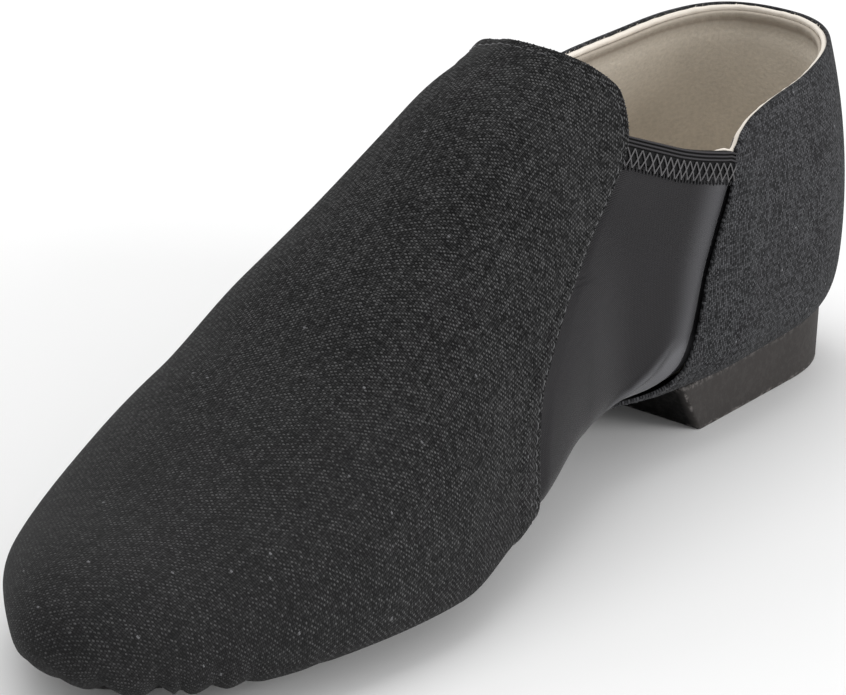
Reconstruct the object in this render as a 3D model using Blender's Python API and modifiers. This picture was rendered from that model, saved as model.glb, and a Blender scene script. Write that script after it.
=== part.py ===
"""Slip-on jazz shoe for a right foot, at its real size in metres.

The toe points along -Y, +Z is up and +X is the inner side of the foot. The origin is on the floor,
under the middle of the shoe.

One function gives the surface of the last that the shoe is made on. Every piece is a layer of that
surface: the canvas panels are its outermost layer, the stretch upper with its lining lies under them,
and the soles follow its underside. Side views of the collar and of the seams cut the layers.
"""

import math
from collections import namedtuple

import bmesh
import bpy
from mathutils import Vector

MM = 0.001

# Sizes of the last
LENGTH = 250 * MM  # back of the heel to the tip of the toe
BALL_WIDTH = 86 * MM  # across the widest part of the forefoot
INSTEP_HEIGHT = 80 * MM  # underside of the upper to the top of the tongue
BACK_HEIGHT = 66 * MM  # underside of the upper to the collar at the back
HEEL_SEAT = 10 * MM  # floor to the underside of the upper over the heel's middle
TOE_SPRING = 3.2 * MM  # how much the underside rises from the ball to the toe
TIP_HEIGHT = 10.4 * MM  # underside to the foremost point of the toe
BULGE_HEIGHT = 26 * MM  # underside to the rearmost point of the back
BACK_LEAN = 3.2 * MM  # how far the back leans forward from its bulge to the collar
BACK_TUCK = 3.8 * MM  # how far the back tucks in from its bulge to the heel

# Layers
CANVAS = 0.9 * MM  # thickness of the canvas panels
WALL = 2.0 * MM  # thickness of the stretch upper with its lining
INSOLE = 1.5 * MM
OUTSOLE = 2.2 * MM
OUTSOLE_FLAT = 0.2 * MM  # depth that the forefoot patch is worn flat on the floor
GAP = 0.3 * MM  # clearance between neighbouring pieces
SOCK_GAP = 0.5 * MM  # clearance between the insole and the inside of the upper
SEAM_GAP = 0.5 * MM  # clearance between a binding's end and a canvas edge, along the shoe

# Trims and openings
BINDING_WIDTH = 5.4 * MM  # height of the folded binding on the stretch gore
LASTING_MARGIN = 20 * MM  # width of upper that turns in under the foot
PATCH_MARGIN = 15 * MM  # edge of the forefoot patch inside the outline of the last
INSOLE_MARGIN = 11 * MM  # edge of the insole inside the outline of the last

# Heel block
HEEL_WIDTH = 50 * MM
HEEL_EDGE = 12.3 * MM  # height of the block's side where the canvas meets it
HEEL_BACK = 4.1 * MM  # back of the shoe to the back of the block, at the floor
HEEL_LENGTH = 63.8 * MM  # length of the block at the floor
BREAST_RAKE = 7.9 * MM  # how far the front of the block leans forward
HEEL_CORNER = 2.4  # squareness of the block's rounded back

# Form of the ends: superellipses from a station to the end, with their squareness. Toe and heel are
# seen from above, the tip and the turn under the heel from the side.
TOE_START, TOE_SQUARENESS = 0.70, 2.1
TIP_START, TIP_SQUARENESS = 0.89, 2.2
HEEL_START, HEEL_SQUARENESS = 0.16, 2.2
TURN_START, TURN_SQUARENESS = 0.028, 2.6
CROWN = 2.1  # squareness of a section above its widest points
LEAN_END = 0.30  # station where the slope of the back has died out

# Faces of the last's surface
RINGS = 36
AROUND = 28

# Sections of the last. A station is a share of the length, from the back. Inner, outer and swing are
# shares of the ball width; ridge and widest are shares of the instep height, above the underside; lift
# is a share of the heel seat's rise, spring of the toe spring; fullness squares off the underside.
Section = namedtuple("Section", "station inner outer swing ridge widest lift spring fullness")
SECTIONS = [
    Section(0.00, 0.378, 0.366, 0.010, 1.190, 0.330, 1.00, 0.00, 3.6),
    Section(0.12, 0.387, 0.381, 0.010, 1.050, 0.250, 1.00, 0.00, 3.3),
    Section(0.25, 0.388, 0.373, 0.010, 1.140, 0.243, 1.00, 0.00, 3.3),
    Section(0.33, 0.352, 0.360, 0.010, 1.150, 0.229, 1.08, 0.00, 3.6),
    Section(0.41, 0.337, 0.370, 0.010, 0.988, 0.210, 1.27, 0.00, 2.8),
    Section(0.49, 0.380, 0.392, 0.010, 0.893, 0.209, 1.13, 0.00, 2.7),
    Section(0.56, 0.428, 0.447, 0.007, 0.797, 0.185, 0.56, 0.00, 2.8),
    Section(0.62, 0.461, 0.481, 0.003, 0.720, 0.166, 0.12, 0.00, 2.9),
    Section(0.70, 0.500, 0.500, 0.000, 0.546, 0.121, 0.00, 0.00, 2.9),
    Section(0.80, 0.475, 0.476, 0.013, 0.410, 0.126, 0.00, 0.00, 2.9),
    Section(0.90, 0.428, 0.436, 0.025, 0.321, 0.120, 0.00, 0.25, 3.0),
    Section(1.00, 0.340, 0.342, 0.066, 0.296, 0.126, 0.00, 1.00, 3.0),
]

# Side views. Back is a share of the back height and instep of the instep height, above the heel seat.
Mark = namedtuple("Mark", "station back instep")
COLLAR = [
    Mark(-0.060, 1.000, 0.0),
    Mark(0.015, 1.000, 0.0),
    Mark(0.070, 0.978, 0.0),
    Mark(0.140, 0.948, 0.0),
    Mark(0.200, 0.934, 0.0),
    Mark(0.236, 0.914, 0.0),
    Mark(0.256, 0.884, 0.0),
    Mark(0.271, 0.840, 0.0),
    Mark(0.298, 0.858, 0.0),
    Mark(0.328, 0.890, 0.0),
    Mark(0.357, 0.932, 0.0),
    Mark(0.385, 0.974, 0.0),
    Mark(0.386, 0.985, 0.0),
    Mark(0.382, 0.0, 0.905),
    Mark(0.394, 0.0, 0.967),
    Mark(0.407, 0.0, 1.000),
    Mark(0.421, 0.0, 1.022),
]
VAMP_EDGE = [
    Mark(0.370, 1.120, 0.0),
    Mark(0.387, 0.990, 0.0),
    Mark(0.400, 0.912, 0.0),
    Mark(0.422, 0.840, 0.0),
    Mark(0.463, 0.757, 0.0),
    Mark(0.505, 0.655, 0.0),
    Mark(0.548, 0.515, 0.0),
    Mark(0.578, 0.378, 0.0),
    Mark(0.588, 0.225, 0.0),
    Mark(0.587, 0.100, 0.0),
    Mark(0.577, -0.020, 0.0),
    Mark(0.566, -0.140, 0.0),
]
COUNTER_EDGE = [
    Mark(0.264, 0.960, 0.0),
    Mark(0.270, 0.832, 0.0),
    Mark(0.280, 0.715, 0.0),
    Mark(0.295, 0.602, 0.0),
    Mark(0.311, 0.450, 0.0),
    Mark(0.320, 0.283, 0.0),
    Mark(0.331, 0.170, 0.0),
    Mark(0.352, 0.105, 0.0),
    Mark(0.385, 0.070, 0.0),
    Mark(0.415, 0.042, 0.0),
    Mark(0.432, 0.000, 0.0),
]

# Ovals cut from the last's outline, from one station to another
Oval = namedtuple("Oval", "start end margin squareness")
PATCH = Oval(0.580, 0.955, PATCH_MARGIN, 3.0)
SOCK = Oval(0.030, 0.965, INSOLE_MARGIN, 5.0)
FOREFOOT_OPENING = Oval(0.605, 0.920, LASTING_MARGIN, 3.0)
SEAT_OPENING = Oval(0.060, 0.250, LASTING_MARGIN, 2.2)

# Colours as linear RGB, with roughness
Finish = namedtuple("Finish", "colour roughness")
NEOPRENE = Finish((0.036, 0.035, 0.038), 0.55)
BLACK_CANVAS = Finish((0.035, 0.035, 0.036), 0.90)
ELASTIC = Finish((0.045, 0.045, 0.047), 0.70)
SUEDE_RUBBER = Finish((0.020, 0.020, 0.021), 0.85)
HEEL_RUBBER = Finish((0.060, 0.058, 0.056), 0.75)
BEIGE_CLOTH = Finish((0.340, 0.290, 0.235), 0.90)


def clear_scene():
    """Start from an empty scene."""
    for item in list(bpy.data.objects):
        bpy.data.objects.remove(item, do_unlink=True)


def new_collection(name):
    """A collection linked to the scene."""
    group = bpy.data.collections.new(name)
    bpy.context.scene.collection.children.link(group)
    return group


def new_object(name, mesh, group):
    """An object for a mesh, in a collection."""
    item = bpy.data.objects.new(name, mesh)
    group.objects.link(item)
    return item


def finish_material(name, finish):
    """A plain Principled material."""
    material = bpy.data.materials.new(name)
    material.use_nodes = True
    shader = material.node_tree.nodes["Principled BSDF"]
    shader.inputs["Base Color"].default_value = (*finish.colour, 1.0)
    shader.inputs["Roughness"].default_value = finish.roughness
    shader.inputs["Metallic"].default_value = 0.0
    return material


def smooth(rows, column, at):
    """A column's value at a station, on a curve through the rows that doesn't overshoot them."""
    xs = [row.station for row in rows]
    ys = [getattr(row, column) for row in rows]
    at = min(max(at, xs[0]), xs[-1])
    rise = [(ys[k + 1] - ys[k]) / (xs[k + 1] - xs[k]) for k in range(len(xs) - 1)]
    slope = [rise[0]]
    for before, after in zip(rise, rise[1:]):
        slope.append(2 * before * after / (before + after) if before * after > 0 else 0.0)
    slope.append(rise[-1])
    k = max(i for i in range(len(xs) - 1) if xs[i] <= at)
    width = xs[k + 1] - xs[k]
    t = (at - xs[k]) / width
    start = ys[k] * (2 * t**3 - 3 * t**2 + 1) + slope[k] * width * (t**3 - 2 * t**2 + t)
    end = ys[k + 1] * (3 * t**2 - 2 * t**3) + slope[k + 1] * width * (t**3 - t**2)
    return start + end


def rounding(along, squareness):
    """Height of a superellipse at a share of its half axis."""
    along = min(max(along, 0.0), 1.0)
    return max(1 - along**squareness, 0.0) ** (1 / squareness)


Shape = namedtuple("Shape", "inner outer middle ridge widest base fullness")


def section_shape(station):
    """Real sizes of the last's section at a station, with the rounding of toe and heel."""
    row = {column: smooth(SECTIONS, column, station) for column in Section._fields[1:]}
    ball_base = OUTSOLE - OUTSOLE_FLAT + GAP
    base = ball_base + row["lift"] * (HEEL_SEAT - ball_base) + row["spring"] * TOE_SPRING
    plan = rounding((station - TOE_START) / (1 - TOE_START), TOE_SQUARENESS)
    plan *= rounding((HEEL_START - station) / HEEL_START, HEEL_SQUARENESS)
    profile = rounding((station - TIP_START) / (1 - TIP_START), TIP_SQUARENESS)
    turn_in = rounding((TURN_START - station) / TURN_START, TURN_SQUARENESS)
    tip = base + TIP_HEIGHT
    ridge = base + row["ridge"] * INSTEP_HEIGHT
    widest = base + row["widest"] * INSTEP_HEIGHT
    return Shape(
        inner=row["inner"] * BALL_WIDTH * plan,
        outer=row["outer"] * BALL_WIDTH * plan,
        middle=row["swing"] * BALL_WIDTH,
        ridge=tip + (ridge - tip) * profile,
        widest=tip + (widest - tip) * profile,
        base=tip + (base - tip) * profile + (widest - base) * (1 - turn_in),
        fullness=row["fullness"],
    )


def along_shoe(station):
    """Y of a station."""
    return LENGTH / 2 - station * LENGTH


def back_slope(station, height):
    """How far the back of the shoe lies forward of its bulge, at a height above the floor."""
    over_bulge = height - HEEL_SEAT - BULGE_HEIGHT
    if over_bulge > 0:
        slope = BACK_LEAN * (over_bulge / (BACK_HEIGHT - BULGE_HEIGHT)) ** 2
    else:
        slope = BACK_TUCK * (over_bulge / BULGE_HEIGHT) ** 2
    return slope * max(1 - station / LEAN_END, 0.0)


def last_point(station, angle):
    """Point of the last's surface: angle 0 is the inner side, a quarter turn is the ridge."""
    shape = section_shape(station)
    across, upward = math.cos(angle), math.sin(angle)
    squareness = CROWN if upward > 0 else shape.fullness
    half = shape.inner if across > 0 else shape.outer
    rise = shape.ridge - shape.widest if upward > 0 else shape.widest - shape.base
    x = shape.middle + half * math.copysign(abs(across) ** (2 / squareness), across)
    z = shape.widest + rise * math.copysign(abs(upward) ** (2 / squareness), upward)
    return Vector((x, along_shoe(station) - back_slope(station, z), z))


def underside_point(station, x):
    """Point of the last's underside at a station and a distance from the middle plane."""
    shape = section_shape(station)
    half = shape.inner if x > shape.middle else shape.outer
    share = min(abs(x - shape.middle) / max(half, GAP), 1.0)
    z = shape.widest - (shape.widest - shape.base) * rounding(share, shape.fullness)
    return Vector((x, along_shoe(station) - back_slope(station, z), z))


def mesh_from(name, work):
    """A mesh from finished bmesh work."""
    mesh = bpy.data.meshes.new(name)
    work.to_mesh(mesh)
    work.free()
    return mesh


def loft(rings, closed_rings, close_ends=False):
    """Bmesh surface through rings of points, with doubled points merged.

    It faces the cross product of the way along a ring and the way to the next ring.
    """
    work = bmesh.new()
    rows = [[work.verts.new(point) for point in ring] for ring in rings]
    count = len(rings[0])
    spans = count if closed_rings else count - 1
    for row, after in zip(rows, rows[1:]):
        for k in range(spans):
            n = (k + 1) % count
            work.faces.new((row[k], row[n], after[n], after[k]))
    if close_ends:
        work.faces.new(rows[0][::-1])
        work.faces.new(rows[-1])
    bmesh.ops.remove_doubles(work, verts=work.verts, dist=0.01 * MM)
    return work


def move_inwards(work, depth):
    """Move a surface against its normals by a depth."""
    work.normal_update()
    moved = [(vert, vert.co - vert.normal * depth) for vert in work.verts]
    for vert, place in moved:
        vert.co = place


def last_layer(name, depth):
    """Closed mesh of the last's surface, moved inwards by a depth (outwards where negative)."""
    stations = [0.5 - 0.5 * math.cos(math.pi * ring / (RINGS - 1)) for ring in range(RINGS)]
    angles = [2 * math.pi * step / AROUND for step in range(AROUND)]
    work = loft([[last_point(station, angle) for angle in angles] for station in stations], True)
    bmesh.ops.triangulate(work, faces=work.faces, quad_method="FIXED")
    move_inwards(work, depth)
    return mesh_from(name, work)


def oval_edges(oval, station):
    """Outer and inner X of an oval's outline at a station."""
    shape = section_shape(station)
    middle_station = (oval.start + oval.end) / 2
    along = abs(station - middle_station) / (oval.end - middle_station)
    width = rounding(along, oval.squareness)
    outer = shape.middle - max(shape.outer - oval.margin, 0.0) * width
    inner = shape.middle + max(shape.inner - oval.margin, 0.0) * width
    return outer, inner


def oval_stations(oval, count):
    """Stations from an oval's start to its end, closer together at both."""
    turns = [math.pi * step / (count - 1) for step in range(count)]
    return [oval.start + (oval.end - oval.start) * (0.5 - 0.5 * math.cos(turn)) for turn in turns]


def sole_sheet(name, oval, depth, rows, columns):
    """Open sheet on the last's underside within an oval, facing down, moved inwards by a depth."""
    rings = []
    for station in oval_stations(oval, rows):
        outer, inner = oval_edges(oval, station)
        shares = [step / (columns - 1) for step in range(columns)]
        rings.append([underside_point(station, outer + (inner - outer) * share) for share in shares])
    work = loft(rings, False)
    move_inwards(work, depth)
    return mesh_from(name, work)


def mark_height(mark):
    """Z of a mark in a side view."""
    return HEEL_SEAT + mark.back * BACK_HEIGHT + mark.instep * INSTEP_HEIGHT


def mesh_of_curve(curve, name, turn, group):
    """Closed mesh object from a filled and extruded 2D curve, turned into place, as a cutter."""
    holder = new_object(name + "_outline", curve, group)
    evaluated = holder.evaluated_get(bpy.context.evaluated_depsgraph_get())
    mesh = bpy.data.meshes.new_from_object(evaluated)
    bpy.data.objects.remove(holder, do_unlink=True)
    work = bmesh.new()
    work.from_mesh(mesh)
    bmesh.ops.remove_doubles(work, verts=work.verts, dist=0.01 * MM)
    for vert in work.verts:
        vert.co = turn(vert.co)
    bmesh.ops.recalc_face_normals(work, faces=work.faces)
    work.to_mesh(mesh)
    work.free()
    return as_cutter(new_object(name, mesh, group))


def as_cutter(item):
    """Mark an object as a guide that is no part of the shoe."""
    item.hide_render = True
    item.display_type = "WIRE"
    return item


def outline_curve(name, soft, corners, half_depth, steps=4):
    """Filled 2D curve through soft points, then round by straight corners, extruded both ways."""
    curve = bpy.data.curves.new(name, "CURVE")
    curve.dimensions = "2D"
    curve.fill_mode = "BOTH"
    curve.extrude = half_depth
    curve.resolution_u = steps
    spline = curve.splines.new("BEZIER")
    spline.use_cyclic_u = True
    spline.bezier_points.add(len(soft) + len(corners) - 1)
    for point, place in zip(spline.bezier_points, soft + corners):
        point.co = (*place, 0.0)
        kind = "VECTOR" if place in corners else "AUTO"
        point.handle_left_type = kind
        point.handle_right_type = kind
    return curve


def side_cutter(name, soft, corners, group, middle=0.0, half_depth=BALL_WIDTH):
    """Prism across the shoe from an outline in its side view, given as (y, z) points."""
    curve = outline_curve(name, soft, corners, half_depth)
    return mesh_of_curve(curve, name, lambda p: Vector((p.z + middle, p.x, p.y)), group)


def oval_cutter(name, oval, bottom, top, group, count=14):
    """Upright prism from an oval's outline."""
    stations = oval_stations(oval, count)
    edges = [(oval_edges(oval, station), along_shoe(station)) for station in stations]
    outline = [(outer, y) for (outer, _), y in edges] + [(inner, y) for (_, inner), y in edges[-2:0:-1]]
    half = (top - bottom) / 2
    curve = outline_curve(name, [], outline, half)
    return mesh_of_curve(curve, name, lambda p: Vector((p.x, p.y, p.z + bottom + half)), group)


def cut(item, cutter, operation):
    """Boolean of a piece with a cutter."""
    modifier = item.modifiers.new(operation.lower() + "_" + cutter.name, "BOOLEAN")
    modifier.object = cutter
    modifier.operation = operation
    modifier.solver = "EXACT"


def thicken(item, thickness, offset):
    """Give a surface a wall: offset -1 grows it against its normals, 1 along them."""
    modifier = item.modifiers.new("wall", "SOLIDIFY")
    modifier.thickness = thickness
    modifier.offset = offset


def dress(item, finish):
    """Give a piece its own material and smooth shading."""
    item.data.materials.append(finish_material(item.name, finish))
    item.data.shade_smooth()
    return item


def seam_line(marks, shift=0.0):
    """Side-view points of a seam, moved along the shoe by a shift towards the toe."""
    return [(along_shoe(mark.station) - shift, mark_height(mark)) for mark in marks]


def make_cutters(group):
    """Prisms of the collar, the seams and the openings underneath."""
    behind, ahead = LENGTH, -LENGTH
    above, below = HEEL_SEAT + 2 * INSTEP_HEIGHT, -HEEL_SEAT
    collar = seam_line(COLLAR)
    cutters = {
        "collar": side_cutter("collar_cut", collar, [(collar[-1][0], above), (collar[0][0], above)], group),
        "forefoot": oval_cutter("forefoot_cut", FOREFOOT_OPENING, below, HEEL_SEAT + WALL, group),
        "seat": oval_cutter("seat_cut", SEAT_OPENING, below, HEEL_SEAT + 6 * WALL, group),
    }
    for suffix, shift in (("", 0.0), ("_clear", SEAM_GAP)):
        vamp = seam_line(VAMP_EDGE, -shift)
        toe_side = [(ahead, below), (ahead, above), (vamp[0][0], above)]
        cutters["vamp" + suffix] = side_cutter("vamp_region" + suffix, vamp, toe_side, group)
        counter = seam_line(COUNTER_EDGE, shift)
        heel_side = [(counter[-1][0], below), (behind, below), (behind, above), (counter[0][0], above)]
        cutters["counter" + suffix] = side_cutter("counter_region" + suffix, counter, heel_side, group)
    return cutters


def make_binding_region(name, side, group):
    """Prism of the binding on one side: a strip under the collar, between counter and vamp."""
    on_gore = [mark for mark in COLLAR if COUNTER_EDGE[1].station < mark.station <= VAMP_EDGE[1].station]
    gore_top = [mark for mark in on_gore if mark.instep == 0.0]
    lower = [(y, z - BINDING_WIDTH) for y, z in seam_line(gore_top)]
    start = (along_shoe(gore_top[0].station) + BINDING_WIDTH, lower[0][1])
    end = (along_shoe(gore_top[-1].station) - BINDING_WIDTH, lower[-1][1] + BINDING_WIDTH / 2)
    above = mark_height(gore_top[-1]) + BINDING_WIDTH
    corners = [(end[0], above), (start[0], above)]
    half = BALL_WIDTH / 2
    return side_cutter(name, [start] + lower + [end], corners, group, side * half, half)


def make_upper(parts, cutters):
    """Stretch upper with its lining: one hollow wall, open at the collar and underneath."""
    upper = new_object("upper", last_layer("upper", CANVAS + GAP), parts)
    thicken(upper, WALL, -1)
    for name in ("collar", "forefoot", "seat"):
        cut(upper, cutters[name], "DIFFERENCE")
    return dress(upper, NEOPRENE)


def make_canvas_panel(name, region, openings, parts, cutters):
    """Canvas panel: the outermost layer of the last within a region of the side view."""
    panel = new_object(name, last_layer(name, 0.0), parts)
    thicken(panel, CANVAS, -1)
    cut(panel, cutters[region], "INTERSECT")
    for opening in openings:
        cut(panel, cutters[opening], "DIFFERENCE")
    return dress(panel, BLACK_CANVAS)


def make_binding(name, side, parts, cutters, group):
    """Folded elastic along the top of the stretch gore, between the two canvas panels."""
    binding = new_object(name, last_layer(name, 0.0), parts)
    thicken(binding, CANVAS, -1)
    cut(binding, make_binding_region(name + "_region", side, group), "INTERSECT")
    cut(binding, cutters["collar"], "DIFFERENCE")
    cut(binding, cutters["vamp_clear"], "DIFFERENCE")
    cut(binding, cutters["counter_clear"], "DIFFERENCE")
    return dress(binding, ELASTIC)


def make_outsole(parts, group):
    """Forefoot patch of the split sole, worn flat where it stands on the floor."""
    patch = sole_sheet("forefoot_outsole", PATCH, -GAP, 18, 9)
    outsole = new_object("forefoot_outsole", patch, parts)
    thicken(outsole, OUTSOLE, 1)
    bpy.ops.mesh.primitive_cube_add(size=LENGTH * 2, location=(0, 0, -LENGTH))
    floor = bpy.context.object
    floor.name = "floor_cut"
    for holder in list(floor.users_collection):
        holder.objects.unlink(floor)
    group.objects.link(floor)
    cut(outsole, as_cutter(floor), "DIFFERENCE")
    return dress(outsole, SUEDE_RUBBER)


def heel_outline(height, steps=14):
    """Points round the heel block at a height: a rounded back and a straight front."""
    rake = BREAST_RAKE * height / HEEL_EDGE
    back = LENGTH / 2 - HEEL_BACK
    front = back - HEEL_LENGTH - rake
    half = HEEL_WIDTH / 2
    middle = SECTIONS[0].swing * BALL_WIDTH
    points = [Vector((middle + half, front, height))]
    for step in range(steps + 1):
        turn = math.pi * step / steps
        x = math.copysign(abs(math.cos(turn)) ** (2 / HEEL_CORNER), math.cos(turn)) * half
        y = back - half + math.sin(turn) ** (2 / HEEL_CORNER) * half
        points.append(Vector((middle + x, y, height)))
    points.append(Vector((middle - half, front, height)))
    return points


def make_heel(parts, group):
    """Rubber heel block, its top hollowed to the underside of the shoe."""
    top = HEEL_EDGE + HEEL_SEAT / 2
    block = loft([heel_outline(0.0), heel_outline(top)], True, close_ends=True)
    heel = new_object("heel", mesh_from("heel", block), parts)
    seat = as_cutter(new_object("seat_form", last_layer("seat_form", -GAP), group))
    cut(heel, seat, "DIFFERENCE")
    return dress(heel, HEEL_RUBBER)


def make_insole(parts):
    """Thin sock lying on the inside of the upper, from heel to toe."""
    depth = CANVAS + GAP + WALL + SOCK_GAP
    insole = new_object("insole", sole_sheet("insole", SOCK, depth, 24, 9), parts)
    thicken(insole, INSOLE, -1)
    return dress(insole, BEIGE_CLOTH)


def build_shoe():
    """Build the whole shoe."""
    clear_scene()
    parts = new_collection("jazz_shoe")
    guides = new_collection("cutters")
    cutters = make_cutters(guides)
    make_upper(parts, cutters)
    make_canvas_panel("vamp", "vamp", ["collar", "forefoot"], parts, cutters)
    make_canvas_panel("counter", "counter", ["collar", "seat"], parts, cutters)
    for name, side in (("gore_binding_inner", 1), ("gore_binding_outer", -1)):
        make_binding(name, side, parts, cutters, guides)
    make_outsole(parts, guides)
    make_heel(parts, guides)
    make_insole(parts)


build_shoe()
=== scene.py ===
"""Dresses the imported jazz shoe: canvas, stretch waist, linings, bindings, seams, soles, floor and light.

The toe points along -Y, +Z is up and +X is the inner side of the foot. Every cloth piece is a grid on the
surface of the last that the shoe is made on, with its edges on the seams of the side view.
"""

import logging
import math
from dataclasses import dataclass, field, replace
from enum import Enum
from typing import Callable

import bmesh
import bpy
import numpy as np
from bpy.types import Material, Mesh, Node, NodeSocket, Object
from mathutils import Matrix, Vector


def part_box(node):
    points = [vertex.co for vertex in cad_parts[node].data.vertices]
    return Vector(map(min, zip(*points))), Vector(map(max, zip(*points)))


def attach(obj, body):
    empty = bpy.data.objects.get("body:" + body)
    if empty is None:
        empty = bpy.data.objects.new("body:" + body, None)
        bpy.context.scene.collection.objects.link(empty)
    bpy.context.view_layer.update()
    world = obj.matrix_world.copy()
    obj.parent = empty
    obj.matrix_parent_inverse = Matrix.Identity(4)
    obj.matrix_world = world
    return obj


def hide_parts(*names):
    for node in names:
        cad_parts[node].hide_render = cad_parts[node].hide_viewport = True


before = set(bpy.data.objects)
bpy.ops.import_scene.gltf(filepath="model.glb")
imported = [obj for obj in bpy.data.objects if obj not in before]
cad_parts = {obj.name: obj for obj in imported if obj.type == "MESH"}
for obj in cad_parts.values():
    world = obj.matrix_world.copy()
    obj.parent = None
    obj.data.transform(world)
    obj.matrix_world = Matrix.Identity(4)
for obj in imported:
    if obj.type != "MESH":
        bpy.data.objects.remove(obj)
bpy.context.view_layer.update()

LOG = logging.getLogger("jazz_shoe")
MM = 0.001
RIDGE = math.pi / 2
BELOW = -math.pi / 2
SECTIONS = 640
RING_STEPS = 500
PATH_STEPS = 800
LEAST_HALF = 0.3 * MM
Array = np.ndarray
Pair = tuple[float, float]
Triple = tuple[float, float, float]


class Slot(Enum):
    """Material slots of the record."""

    NEOPRENE = "neoprene"
    CANVAS = "canvas"
    ELASTIC = "elastic"
    SOLE = "sole_rubber"
    HEEL = "heel_rubber"
    LINING = "lining_cloth"


class Side(Enum):
    """The two long sides of the shoe."""

    INNER = 1
    OUTER = -1


# Helpers for curves and steps


def curve_through(xs: list[float], ys: list[float], at: Array) -> Array:
    """Values of a curve through points that doesn't overshoot them.

    Args:
        xs: Places of the points, rising.
        ys: Values of the points.
        at: Places to read.

    Returns:
        The curve's values there.
    """
    xs, ys = np.asarray(xs, float), np.asarray(ys, float)
    at = np.clip(at, xs[0], xs[-1])
    rise = np.diff(ys) / np.diff(xs)
    total = rise[:-1] + rise[1:]
    mean = 2 * rise[:-1] * rise[1:] / np.where(total == 0, 1, total)
    slope = np.concatenate([[rise[0]], np.where(rise[:-1] * rise[1:] > 0, mean, 0), [rise[-1]]])
    k = np.clip(np.searchsorted(xs, at, side="right") - 1, 0, len(xs) - 2)
    width = xs[k + 1] - xs[k]
    t = (at - xs[k]) / width
    start = ys[k] * (2 * t**3 - 3 * t**2 + 1) + slope[k] * width * (t**3 - 2 * t**2 + t)
    end = ys[k + 1] * (3 * t**2 - 2 * t**3) + slope[k + 1] * width * (t**3 - t**2)
    return start + end


def step(low: float, high: float, value: Array) -> Array:
    """Smooth step from 0 at low to 1 at high."""
    t = np.clip((value - low) / (high - low), 0, 1)
    return t * t * (3 - 2 * t)


def bell(value: Array, middle: float, width: float) -> Array:
    """Smooth bump of height 1 at a middle."""
    return np.exp(-(((value - middle) / width) ** 2))


def rounding(along: Array, squareness: float) -> Array:
    """Height of a superellipse at a share of its half axis."""
    return np.maximum(1 - np.clip(along, 0, 1) ** squareness, 0) ** (1 / squareness)


def denser_at_ends(count: int) -> Array:
    """Shares from 0 to 1 that lie closer together at both ends."""
    return 0.5 - 0.5 * np.cos(np.linspace(0, math.pi, count))


def gone_along(path: Array) -> Array:
    """Distance gone along a path at each of its points."""
    return np.concatenate([[0], np.cumsum(np.linalg.norm(np.diff(path, axis=0), axis=1))])


def unit(rows: Array) -> Array:
    """Rows as unit vectors."""
    return rows / np.linalg.norm(rows, axis=1, keepdims=True)


# The last


@dataclass(frozen=True)
class Section:
    """Section of the last: widths as shares of the ball width, heights of the instep height."""

    station: float
    inner: float
    outer: float
    swing: float
    ridge: float
    widest: float
    lift: float
    spring: float
    fullness: float


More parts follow.
